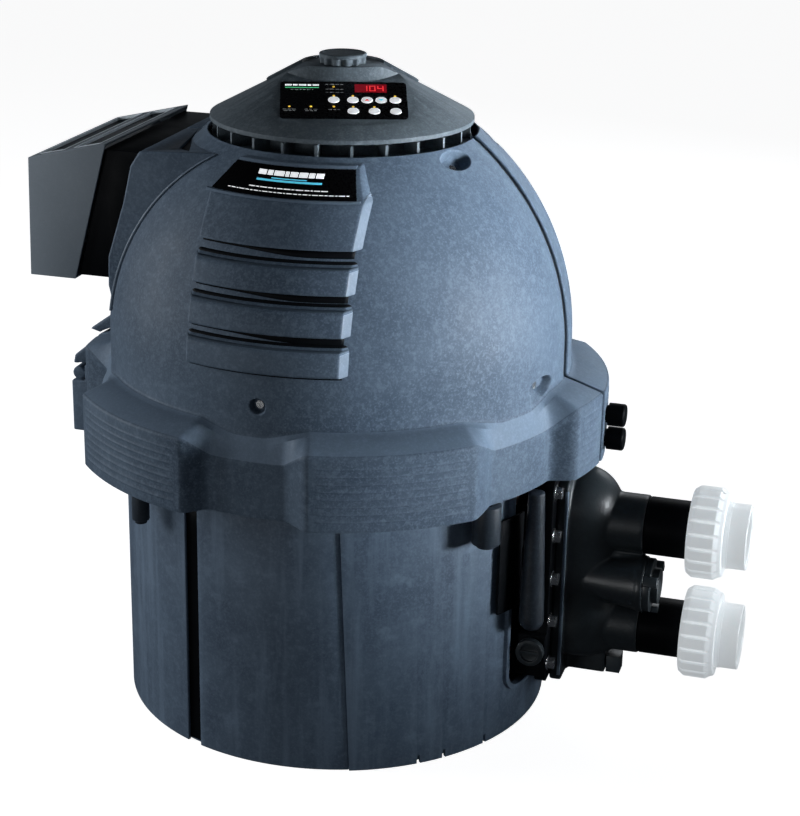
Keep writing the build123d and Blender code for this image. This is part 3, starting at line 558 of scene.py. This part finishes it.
def jacket_shell(name, blocks, proud, recess, block, mouth, seam, middle, pockets, replaced):
    """Half of the domed jacket with its castellated collar; middle is its azimuth away from the seam."""
    base, arc = DOME_R + proud, DOME_ARC + proud
    centre = base - arc
    side = 1 if seam * cos(radians(middle)) > 0 else -1

    def spot(radius, c, z):
        reach = asin(min(1.0, abs(seam) / radius)) * 180 / pi * side
        return at(radius, middle + c * (90 + reach) / 90, z)
    columns = jacket_columns(base, blocks, pockets)
    rise = asin((sqrt(arc ** 2 - (mouth - centre) ** 2)) / arc) * 180 / pi
    angles = merged(steps(0.8, rise, 1.0) + steps(45.5, rise, 0.2), 0.12)
    heights = steps(404.8, DOME_SPRING, 0.8) + [DOME_SPRING + arc * sin(radians(t)) for t in angles]
    grid = []
    for rb, zb, rr, zr in collar_rows(base, block, recess) + [(None, z, None, z) for z in heights]:
        row = []
        for c in columns:
            if rb is None:
                z = zb
                radius = base if z <= DOME_SPRING else centre + sqrt(arc ** 2 - (z - DOME_SPRING) ** 2)
            else:
                share = block_share(c, blocks, SHOULDER_SPREAD * smoothstep(356, 388, zr))
                flare = (face_radius(c, blocks) - block) * (rb - base) / (block - base)
                radius = rr + (rb + flare - rr) * share
                z = zr + (zb - zr) * share
                if share > 0.99:
                    radius += rib_height(zb) * rib_share(c, blocks) * (abs(rb - block) < 0.01)
            slope = 0.0 if z <= DOME_SPRING else (z - DOME_SPRING) / arc
            slant = sqrt(1 - slope ** 2)
            sink = pocket_depth(pockets, c, radius, z, max(slant, 0.3))
            if abs(c) > 89.5:
                t = (abs(c) - 89.55) / 0.45
                sink += 1.8 * (1 - sqrt(max(0.0, 1 - t * t)))
            row.append(spot(radius - sink * slant, c, z - sink * slope))
        # the end walls at the seam close the hollow collar blocks and give the dome its edge
        ends = [Vector((p.x, p.y, 0)).length for p in (row[0], row[-1])]
        first, last = (spot(min(r - 6.0, base + 2.0), c, row[0].z) for r, c in zip(ends, (-90.0, 90.0)))
        grid.append([first] + row + [last])
    lip = []
    for sink, z in ((0.5, 0.7), (1.6, 1.2), (3.0, 1.0)):
        lip.append([Vector((p.x * (1 - sink / mouth), p.y * (1 - sink / mouth), p.z + z)) for p in grid[-1]])
    obj = shade(thicken(sheet(name, grid + lip), JACKET_WALL), 50)
    return finish_piece(obj, "jacket", nodes=(replaced,))


def dome_radius(z):
    if z <= DOME_SPRING:
        return DOME_R
    return DOME_R - DOME_ARC + sqrt(DOME_ARC ** 2 - (z - DOME_SPRING) ** 2)


# outline of each louver from its lip to its top: (distance out from the dome, height, corner radius)
LOUVERS = {
    "louver_1": [(-4, 576.8), (12.8, 579.0, 3.0), (12.0, 619, 3.0), (8.0, 623.5, 2.0), (5.2, 649, 3.0),
                 (-3, 653.5)],
    "louver_2": [(-4, 536.0), (12.0, 538.0, 3.0), (12.0, 560, 5.0), (-3, 569)],
    "louver_3": [(-4, 496.0), (12.0, 498.0, 3.0), (12.0, 521, 5.0), (-3, 530)],
    "louver_4": [(-4, 456.0), (11.5, 458.0, 3.0), (12.0, 482, 5.0), (-3, 490.5)],
}
LOUVER_LEFT, LOUVER_RIGHT, LOUVER_SIDE = -90.0, 88.0, 7.0
TAPER_LEFT, TAPER_RIGHT = 28.0, 16.0  # how far the top louver draws in beside the name plate


def louver_skin(name, grid, heights, sides, material):
    """Thin skin over the part of a louver between two heights and two sides, in the finish given, which is
    painted shade or a painted highlight.
    """
    lifted = []
    for row in grid:
        if heights[0] <= row[0][2] <= heights[1]:
            lifted.append([outwards(point, SKIN_LIFT) for point in row if sides[0] <= point[0] <= sides[1]])
    obj = thicken(sheet(name, lifted), SKIN_WALL)
    return repaint(finish_piece(shade(obj, 50), "jacket"), material)


def louver(name, corners):
    """Raised shingle that follows the dome, its two ends sloping back to it."""
    profile = []
    for a, b in zip(rounded(corners, 6), rounded(corners, 6)[1:]):
        count = max(1, round((b - a).length / 4))
        profile += [a.lerp(b, k / count) for k in range(count)]
    profile.append(Vector(corners[-1]))
    ends = steps(0, 2.2, 0.55) + steps(2.2, LOUVER_SIDE - 1.2, 1.2)
    ends += steps(LOUVER_SIDE - 1.2, LOUVER_SIDE + 1.4, 0.45)
    xs = [LOUVER_LEFT + e for e in ends] + [LOUVER_RIGHT - e for e in ends]
    xs = merged(xs + steps(LOUVER_LEFT + LOUVER_SIDE + 3, LOUVER_RIGHT - LOUVER_SIDE - 3, 5.0), 0.3)

    def side(x):
        window = [min(max(min(x + s - LOUVER_LEFT, LOUVER_RIGHT - x - s) / LOUVER_SIDE, 0.0), 1.0)
                  for s in (-1.2, -0.6, 0.0, 0.6, 1.2)]
        return sum(window) / len(window)
    grid = []
    for off, z in profile:
        drawn = min(max((z - 621) / 28, 0.0), 1.0)
        left = LOUVER_LEFT + TAPER_LEFT * drawn
        width = LOUVER_RIGHT - TAPER_RIGHT * drawn - left
        row = []
        for x in xs:
            radius = dome_radius(z) + (off + 4) * side(x) - 4
            moved = left + (x - LOUVER_LEFT) * width / (LOUVER_RIGHT - LOUVER_LEFT)
            row.append((moved, -sqrt(radius ** 2 - moved ** 2), z))
        grid.append(row)
    lip, crest = corners[1][1], corners[-2][1]
    top, whole = corners[-1][1], (LOUVER_LEFT, LOUVER_RIGHT)
    end = (LOUVER_RIGHT - LOUVER_SIDE - 0.5, LOUVER_RIGHT)
    # painted shade on the lower louvers' tops, dim over the crest's rounding and black above it; a painted
    # highlight on every louver's right end
    if name != "louver_1":
        louver_skin(name + "_crest", grid, (crest + 1.0, crest + 4.2), whole, SHADED)
        louver_skin(name + "_top", grid, (crest + 4.0, top), whole, MATERIALS["black_plastic"])
    louver_skin(name + "_end", grid, (lip - 0.5, crest), end, PAINTED_HIGHLIGHT)
    obj = shade(thicken(sheet(name, grid), LOUVER_WALL), 50)
    return finish_piece(obj, "jacket")


def louver_lip_shadows():
    """Black sheets on the dome under the louvers' lips: a painted shadow, reaching further down towards the
    right.
    """
    made = []
    for name, corners in LOUVERS.items():
        lip = corners[0][1]
        shadow_taper = 0.0 if name == "louver_4" else 4.5
        grid = []
        for share in (0.0, 0.5, 1.0):
            row = []
            for x in steps(LOUVER_LEFT + LOUVER_SIDE, LOUVER_RIGHT - LOUVER_SIDE, 4.0):
                # the painted shadow reaches further down towards the right
                z = lip + 2.0 - share * (4.5 + shadow_taper * smoothstep(-50, 40, x))
                row.append((x, -sqrt((dome_radius(z) + 0.5) ** 2 - x ** 2), z))
            grid.append(row[::-1])
        made.append(sheet("slot", grid))
    obj = thicken(shade(join("louver_lip_painted_shadows", made), 40), 1.0)
    return finish_piece(obj, "black_plastic")


# section of the shoulder that carries the exhaust hood: (x, z, corner radius)
BULGE = ((-60, 648), (-185, 642, 7), (-196, 625, 9), (-205, 586), (-225, 522, 12), (-226, 490), (-220, 462),
         (-60, 440))


def prism(name, outline, y0, y1, round_by):
    """Bevelled prism along Y from an outline of (x, z) points."""
    points = [(p.x, y, p.y) for y in (y0, y1) for p in outline]
    n = len(outline)
    faces = [(i, (i + 1) % n, n + (i + 1) % n, n + i) for i in range(n)]
    faces += [tuple(range(n - 1, -1, -1)), tuple(range(n, 2 * n))]
    obj = face_outwards(mesh_object(name, points, faces))
    mod = obj.modifiers.new("round", "BEVEL")
    mod.width = round_by * MM
    mod.segments = 4
    mod.limit_method = "ANGLE"
    mod.angle_limit = radians(50)
    bake_modifiers(obj)
    return shade(obj, 40)


def shoulder(name, y0, y1):
    """Half of the boxy shoulder that carries the exhaust hood."""
    outline = rounded(list(BULGE) + [BULGE[0]], 5)[:-1]
    return finish_piece(prism(name, outline, y0, y1, 2.6), "jacket")


def shoulder_bead():
    """Moulded fillet where the shoulder's front face meets the dome, finished pale as a painted highlight."""
    grid = []
    for turn in steps(0, 360, 45)[:-1]:
        row = []
        for z in steps(462, 646, 5.0):
            x = -sqrt((dome_radius(z) + 1.0) ** 2 - SHOULDER_Y ** 2)
            row.append((x + 2.4 * cos(radians(turn)), 2.4 * sin(radians(turn)) - SHOULDER_Y, z))
        grid.append(row)
    points = [p for row in grid for p in row]
    faces = sheet_faces(len(grid), len(grid[0]))
    last, n = (len(grid) - 1) * len(grid[0]), len(grid[0])
    faces += [(last + j, last + j + 1, j + 1, j) for j in range(n - 1)]
    faces.append(tuple(n * k for k in range(len(grid))))
    faces.append(tuple(n * k + n - 1 for k in reversed(range(len(grid)))))
    # painted highlight: the fillet gets the pale edge finish
    obj = finish_piece(shade(mesh_object("shoulder_fillet", points, faces), 60), "jacket")
    return repaint(obj, PAINTED_HIGHLIGHT)


def shoulder_pocket(part):
    """Tapering pocket cut in the shoulder's top, beside the dome, with a black floor as painted shade."""
    plan = ((-148.0, -106.0), (-131.0, -120.0), (-158.0, -40.0), (-168.0, -1.0))

    def block(name, low, high):
        points = [(x, y, z) for z in (low, high) for x, y in plan]
        faces = [(3, 2, 1, 0), (4, 5, 6, 7)]
        faces += [(i, (i + 1) % 4, 4 + (i + 1) % 4, 4 + i) for i in range(4)]
        return mesh_object(name, points, faces)
    cutter = block("pocket_cutter", 638.0, 660.0)
    mod = part.modifiers.new("pocket", "BOOLEAN")
    mod.operation = "DIFFERENCE"
    mod.object = cutter
    bake_modifiers(part)
    bpy.data.objects.remove(cutter)
    # painted shade: a black block as the pocket's floor
    finish_piece(block("shoulder_pocket_floor", 634.0, 640.5), "black_plastic")


def hood_top(x):
    """Height of the exhaust hood's sloping top."""
    return 622.0 + (x + 321.0) * 22.0 / 92.0


def hood_rim(a, b, lift):
    """Point on the hood's top, a along Y and b along X, lifted off it."""
    return Vector((b, a, hood_top(b) + lift))


def hood_blade(foot):
    """Surface of a baffle blade that falls away from the slot's edge at x = foot."""
    def spot(a, b, lift):
        return Vector((b, a, hood_top(foot) - 3.0 - 0.55 * (b - foot) + lift))
    return spot


def hood_slots():
    """Folded rims round the two exhaust slots, pale as a painted highlight, and the sloping baffle blade
    inside each, dark as painted shade.
    """
    rims, blades = [], []
    for x0, x1 in HOOD_SLOTS:
        rims += [patch("rim", hood_rim, -105.0, 105.0, b, b + 1.4, -2.4, 0.7) for b in (x0 - 0.7, x1 - 0.7)]
        rims += [patch("rim", hood_rim, a, a + 1.4, x0, x1, -2.4, 0.7) for a in (-105.0, 103.6)]
        blades.append(patch("blade", hood_blade(x0), -103.0, 103.0, x0 + 0.8, x1 - 5.0, -1.0, 0.0))
    # painted highlight on the rims
    repaint(finish_piece(shade(join("hood_slot_rims", rims), 30), "hood_metal"), RIM_HIGHLIGHT)
    # painted shade: the blades inside the slots are dark
    repaint(finish_piece(shade(join("hood_slot_blades", blades), 30), "hood_metal"), DARK_SLATE)


def groove_liner():
    """Black strip behind the open groove between two tub panels, as painted shade in the groove."""
    grid = [[at(239.6, a, z) for a in steps(-26.0, -19.4, 0.6)] for z in steps(3, 299, 37)]
    return finish_piece(shade(thicken(sheet("tub_groove_liner", grid), 1.2), 40), "black_plastic")


# --- label and control panel print ----------------------------------------------------------------
def plate_point(x, z, lift):
    """Point on the name plate, lifted off it."""
    radius = dome_radius(z) + 10.8 - 2.9 * (z - 624) / 25 + lift
    return Vector((x, -sqrt(radius ** 2 - x ** 2), z))


def facet_point(u, s, lift):
    """Point on the cap's flat facet: u across, s down the slope from the axis."""
    tilt = Vector((1, FACET_SLOPE)).normalized()
    p = Vector((u, -s * tilt.x - lift * tilt.y, FACET_Z - s * tilt.y + lift * tilt.x))
    return Matrix.Rotation(radians(CAP_TURN), 3, "Z") @ p


def patch(name, surface, a0, a1, b0, b1, low, high):
    """Thin raised patch on a surface between a0..a1 and b0..b1."""
    across = steps(a0, a1, 4.0)
    layers = []
    for lift in (low, high):
        for b in (b0, b1):
            layers.append([surface(a, b, lift) for a in across])
    n = len(across)
    points = [p for row in layers for p in row]
    faces = []
    for i in range(n - 1):
        faces += [(2 * n + i, 2 * n + i + 1, 3 * n + i + 1, 3 * n + i), (i, n + i, n + i + 1, i + 1),
                  (i, i + 1, 2 * n + i + 1, 2 * n + i), (n + i, 3 * n + i, 3 * n + i + 1, n + i + 1)]
    faces += [(0, 2 * n, 3 * n, n), (n - 1, 2 * n - 1, 4 * n - 1, 3 * n - 1)]
    return face_outwards(mesh_object(name, points, faces))


def dashes(surface, start, end, b0, b1, low, high, pattern):
    """A row of short strokes standing in for small print; pattern repeats the stroke lengths."""
    made = []
    a = start
    k = 0
    while a < end:
        length = min(pattern[k % len(pattern)], end - a)
        if length > 0.8:
            made.append(patch(f"dash_{k}", surface, a, a + length, b0, b1, low, high))
        a += length + 1.3
        k += 1
    return made


def name_plate():
    """Black name plate with its moulded rim and generic print."""
    repaint(frame["nodes"]["badge_plate"], PANEL)
    rim = []
    for x0, x1, z0, z1 in ((-62, 64, 648.6, 651.0), (-90, 78, 619.6, 621.8)):
        rim.append(patch("rim", plate_point, x0, x1, z0, z1, -3.0, 0.9))
    finish_piece(shade(join("name_plate_rim", rim), 30), "jacket")
    white = dashes(plate_point, -34, 36, 640.2, 644.2, -0.05, 0.12, (9, 6, 11, 4, 8))
    white += dashes(plate_point, -40, 44, 629.6, 630.3, -0.05, 0.12, (7, 3, 8, 5, 2, 6))
    white += dashes(plate_point, -64, 66, 626.2, 626.8, -0.05, 0.12, (3, 5, 2, 6, 4))
    finish_piece(join("name_plate_print", white), "key_white")
    blue = [patch("band", plate_point, -34, 36, 635.2, 636.8, -0.05, 0.14),
            patch("band", plate_point, -18, 20, 637.6, 638.4, -0.05, 0.14)]
    repaint(finish_piece(join("name_plate_band", blue), "key_white"), PRINT_BLUE)


SEGMENTS = {"0": "abcdef", "1": "bc", "4": "bcfg"}


def display_digits():
    """Seven-segment digits behind the red window."""
    strokes = []
    spots = {"a": (0, 0, 1, 0), "g": (0, 5, 1, 5), "d": (0, 10, 1, 10),
             "f": (0, 0, 0, 5), "b": (1, 0, 1, 5), "e": (0, 5, 0, 10), "c": (1, 5, 1, 10)}
    for k, digit in enumerate("104"):
        left = 19.5 + 8.6 * k
        for name in SEGMENTS[digit]:
            x0, s0, x1, s1 = spots[name]
            a0, a1 = left + x0 * 5.4 - 0.6, left + x1 * 5.4 + 0.6
            b0, b1 = 38.0 + s0 - 0.6, 38.0 + s1 + 0.6
            strokes.append(patch("stroke", facet_point, a0, a1, b0, b1, 2.55, 2.68))
    repaint(finish_piece(join("display_digits", strokes), "lamp", "control_cap"), DIGITS)


def control_print():
    """Generic captions and markings on the control panel."""
    repaint(frame["nodes"]["keypad_plate"], PANEL)
    low, high = 2.5, 2.72
    white = dashes(facet_point, -62, -26, 35.2, 38.0, low, high, (7, 5, 8, 4))
    fine = dashes(facet_point, -56, -32, 46.2, 47.0, low, high, (3, 4, 2))
    for u, s, half in ((-57, 87.5, 7), (-57, 90.5, 6), (-34.6, 87.5, 7), (-34.6, 90.5, 6), (-10.4, 87.8, 6)):
        fine += dashes(facet_point, u - half, u + half, s, s + 0.8, low, high, (4, 3, 5))
    for s in (34.5, 45.0, 51.5):
        fine += dashes(facet_point, -19, 2, s, s + 0.8, low, high, (3, 5, 4))
    repaint(finish_piece(join("panel_small_print", fine), "key_white", "control_cap"), PRINT_GREY)
    finish_piece(join("panel_print", white), "key_white", "control_cap")
    green = [patch("band", facet_point, -62, -26, 41.2, 42.9, low, high)]
    repaint(finish_piece(join("panel_band", green), "key_white", "control_cap"), PRINT_GREEN)
    for key, material, sign in (("key_3", PRINT_RED, 1), ("key_4", PRINT_BLUE, -1)):
        lo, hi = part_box(key)
        middle = (lo + hi) / 2 / MM
        flat = Matrix.Rotation(radians(-CAP_TURN), 3, "Z") @ middle
        slope = -flat.y * sqrt(1 + FACET_SLOPE ** 2)
        rows = []
        for k in range(4):
            half = 2.6 * (1 - k / 4)
            s = slope + sign * (1.4 - 0.8 * k) - 0.4
            rows.append(patch("arrow", facet_point, flat.x - half, flat.x + half, s, s + 0.8, 3.3, 3.66))
        repaint(finish_piece(join(key + "_arrow", rows), "key_white", key), material)


# --- water side -----------------------------------------------------------------------------------
def along_x(z):
    """Places a ring's points round a line parallel to X at this height."""
    def spot(a, r, angle):
        return Vector((a, r * cos(angle), z + r * sin(angle)))
    return spot


def ring_outline(corners):
    """Closed outline with rounded corners."""
    line = rounded([corners[-1]] + corners + [corners[0]], 4)
    return [(p.x, p.y) for p in line[1:-1]]


def union_nut(name, z):
    """Hand nut: twenty flat lobes parted by narrow grooves, with a domed shoulder and a plain collar."""
    lobes = 20

    def spot(a, r, angle):
        if r > 46:
            turn = (angle / (2 * pi) * lobes) % 1.0
            groove = smoothstep(0.16, 0.03, min(turn, 1 - turn))
            depth = 2.6 * smoothstep(411.5, 415, a) * smoothstep(447, 441, a)
            r = r - groove * depth
        return Vector((a, r * cos(angle), z + r * sin(angle)))
    outline = ring_outline([(411, 43.2), (411, 47.0, 1.5), (417, 51.3, 4.0), (441, 51.3, 3.0),
                            (446, 48.0, 2.0), (450, 46.5, 1.5), (450, 37.2, 0.8), (440.5, 37.2),
                            (440.5, 43.2)])
    dense = []
    for (a0, r0), (a1, r1) in zip(outline, outline[1:] + outline[:1]):
        count = max(1, round(sqrt((a1 - a0) ** 2 + (r1 - r0) ** 2) / 2.5))
        dense += [(a0 + (a1 - a0) * k / count, r0 + (r1 - r0) * k / count) for k in range(count)]
    obj = shade(closed_ring(name + "_grip", dense, spot, 400), 40)
    return finish_piece(obj, "white_pvc", name, (name,))


def tailpieces():
    """Socket ends of the unions, with the raised bead and the chamfered mouth."""
    made = []
    for z in PIPE_Z:
        outline = ring_outline([(432.5, 41.4, 0.8), (438.4, 41.4, 0.8), (438.4, 36.6, 0.5), (452, 36.6, 0.4),
                                (452.6, 37.0, 0.4), (455, 37.0, 0.4), (455.6, 36.5, 0.4), (475, 36.3, 1.0),
                                (475, 31.6, 0.8), (473.5, 30.3, 0.4), (437, 30.15, 0.4), (437, 26.0, 0.4),
                                (432.5, 26.0)])
        made.append(closed_ring("tail", outline, along_x(z)))
    obj = shade(join("union_sockets", made), 35)
    return finish_piece(obj, "white_pvc", nodes=("union_tailpieces",))


def pipe_stubs():
    """Black stubs glued into the header's hubs, each with the shallow step of its solvent joint."""
    made = []
    for z in PIPE_Z:
        outline = ring_outline([(362, 32.5), (362.4, 31.9, 0.3), (363.6, 31.9, 0.3), (364.2, 32.5, 0.3),
                                (430, 32.5, 1.0), (430, 26.0, 1.0), (362, 26.0)])
        made.append(closed_ring("stub", outline, along_x(z)))
    obj = shade(join("pipe_stubs_turned", made), 35)
    return repaint(finish_piece(obj, "header_plastic", nodes=("stub_pipes",)), MATERIALS["black_plastic"])


def flange_bead():
    """Thin strip down the side of the header's flange, finished pale as a painted highlight."""
    outline = rounded([(277.0, -49.0), (277.0, -51.4, 1.2), (281.0, -51.4, 1.2), (281.0, -49.0)], 4)
    grid = [[(p.x, p.y, z) for p in outline] for z in steps(60, 284, 8.0)]
    obj = thicken(sheet("header_flange_edge", grid), 1.0)
    # painted highlight: the pale finish stands in for light on the flange's edge
    repaint(finish_piece(shade(obj, 60), "header_plastic"), PAINTED_HIGHLIGHT)


# --- knob -----------------------------------------------------------------------------------------
def knob():
    """Clamp knob: a plain dished top over twelve finger scallops."""
    foot, cap_foot, top = 727.6, 734.6, 739.0

    def spot(a, r, angle):
        if r > 18 and a < cap_foot + 0.2:
            r = r - 3.4 * (0.5 - 0.5 * cos(12 * angle)) ** 1.5
        return Vector((r * cos(angle), r * sin(angle), a))
    outline = [(foot, 0.4), (foot, 24.6), (foot + 0.6, 25.4), (cap_foot - 0.3, 25.2), (cap_foot + 0.2, 25.0),
               (cap_foot + 0.4, 25.7), (top - 1.2, 25.8), (top - 0.4, 25.2), (top, 24.0), (top - 0.1, 22.4),
               (top - 0.5, 21.0), (top - 0.7, 18.0), (top - 0.6, 0.4)]
    obj = shade(closed_ring("clamp_knob_grip", outline, spot, 192), 40)
    return finish_piece(obj, "cap", "clamp_knob", ("clamp_knob",))


# --- stage ----------------------------------------------------------------------------------------
def camera():
    """Azimuth 18 degrees to the right of the front, looking down 20 degrees. Metres."""
    data = bpy.data.cameras.new("camera")
    data.lens = 86.62
    data.sensor_width = 36.0
    obj = placed("camera", data)
    yaw, pitch, roll = radians(16.14), radians(19.86), radians(1.11)
    turn = Matrix.Rotation(yaw, 4, "Z") @ Matrix.Rotation(pi / 2 - pitch, 4, "X")
    turn = turn @ Matrix.Rotation(roll, 4, "Z")
    obj.matrix_world = Matrix.Translation((0.6554, -2.0172, 1.0982)) @ turn
    bpy.context.scene.camera = obj


def softbox(name, azimuth, distance, height, width, tall, power, colour, aim=(0.0, 0.0, 0.38), spread=180.0):
    """Large area light, its spread in degrees. Metres and watts."""
    data = bpy.data.lights.new(name, "AREA")
    data.spread = radians(spread)
    data.shape = "RECTANGLE"
    data.size = width
    data.size_y = tall
    data.energy = power
    data.color = colour
    obj = placed(name, data)
    place = at(distance, azimuth, height)
    turn = (Vector(aim) - place).to_track_quat("-Z", "Y").to_matrix().to_4x4()
    obj.matrix_world = Matrix.Translation(place) @ turn


def studio():
    """Dark room with a dim horizon, and four softboxes: the key stands level with the dome, on the right."""
    world = bpy.data.worlds.new("studio")
    bpy.context.scene.world = world
    world.use_nodes = True
    tree = world.node_tree
    where = node(tree, "ShaderNodeTexCoord").outputs["Generated"]
    up = node(tree, "ShaderNodeSeparateXYZ", {"Vector": where}).outputs["Z"]
    sky = blend(tree, remap(tree, up, -0.05, 0.05, 0.0, 1.0), (0.02, 0.022, 0.026), (0.20, 0.22, 0.24))
    sky = blend(tree, remap(tree, up, 0.10, 0.5, 0.0, 1.0), sky, (0.02, 0.022, 0.026))
    tree.links.new(sky, tree.nodes["Background"].inputs["Color"])
    tree.nodes["Background"].inputs["Strength"].default_value = 1.0
    softbox("softbox_left", -78, 2.4, 0.90, 1.2, 1.1, 35, (0.94, 0.97, 1.0), (0.0, 0.0, 0.45))
    softbox("softbox_right", 93, 2.2, 0.66, 0.9, 0.6, 7.5, (0.90, 0.95, 1.0), (0.0, 0.0, 0.62), 30.0)
    softbox("softbox_front", -24, 3.4, 0.35, 1.4, 0.9, 18, (0.96, 0.98, 1.0), (0.0, 0.0, 0.45))
    softbox("softbox_back", 165, 2.6, 1.5, 1.6, 1.2, 12, (0.92, 0.96, 1.0))
    bpy.context.scene.view_settings.view_transform = "Standard"


def floor():
    """White sweep curving up into a wall all round, which throws no light back onto the heater."""
    bend = [(8000 + 1500 * sin(radians(t)), 1500 - 1500 * cos(radians(t))) for t in steps(0, 90, 10)]
    profile = [(1, 0), (4000, 0)] + bend + [(9500, 7000)]
    obj = sheet("floor", [[at(r, a, z) for a in steps(360, 0, 7.5)] for r, z in profile])
    obj.data.shade_smooth()
    material, _, shader = blank("floor_paper")
    shader.inputs["Base Color"].default_value = (0.50, 0.50, 0.51, 1.0)
    shader.inputs["Roughness"].default_value = 0.9
    shader.inputs["Specular IOR Level"].default_value = 0.1
    shader.inputs["Emission Color"].default_value = (1.0, 1.0, 1.0, 1.0)
    shader.inputs["Emission Strength"].default_value = 0.93
    obj.data.materials.append(material)
    obj.location.z = -0.0005
    obj.visible_diffuse = False
    obj.visible_glossy = False


# --- assembly -------------------------------------------------------------------------------------
SOFT_EDGES = {
    "tub_front_panel": ("tub", 1.2), "tub_left_panel": ("tub", 1.2), "tub_right_panel": ("tub", 1.2),
    "exhaust_hood": ("hood_metal", 0.7), "hood_duct": ("black_plastic", 0.8), "junction_box": ("jacket", 2.0),
    "tubesheet": ("black_plastic", 0.8), "header_bolts": ("stainless", 0.5),
    "branch_cap": ("header_plastic", 0.8), "drain_plugs": ("header_plastic", 0.8),
}

paint_frame()
jacket_shell("front_jacket_shell", FRONT_BLOCKS, 0.0, 270.0, 294.0, MOUTH_FRONT, SEAM_FRONT, 0.0,
             FRONT_POCKETS, "front_jacket")
jacket_shell("back_jacket_shell", BACK_BLOCKS, BACK_PROUD, 279.0, 305.0, MOUTH_BACK, SEAM_BACK, 180.0,
             BACK_POCKETS, "back_jacket")
for louver_name, louver_corners in LOUVERS.items():
    louver(louver_name, louver_corners)
louver_lip_shadows()
front_shoulder = shoulder("hood_shoulder_front", -SHOULDER_Y, SEAM_FRONT)
shoulder("hood_shoulder_back", SEAM_BACK, SHOULDER_Y)
shoulder_pocket(front_shoulder)
shoulder_bead()
hood_slots()
groove_liner()
for soft_node, (soft_slot, soft_width) in SOFT_EDGES.items():
    softened(soft_node, soft_slot, soft_width)
softened("control_cap", "cap", 1.0, "control_cap")
cast("header", "header_plastic", 1.6, 6)
cast("junction_box_lid", "jacket", 1.6, 9)
repaint(softened("collar_posts", "black_plastic", 0.8), DARK_SLATE)
repaint(cast("sensor_lead_cover", "rubber", 1.2, 4), DARK_SLATE)
name_plate()
control_print()
display_digits()
tailpieces()
pipe_stubs()
flange_bead()
union_nut("upper_union_nut", PIPE_Z[0])
union_nut("lower_union_nut", PIPE_Z[1])
knob()
camera()
studio()
floor()
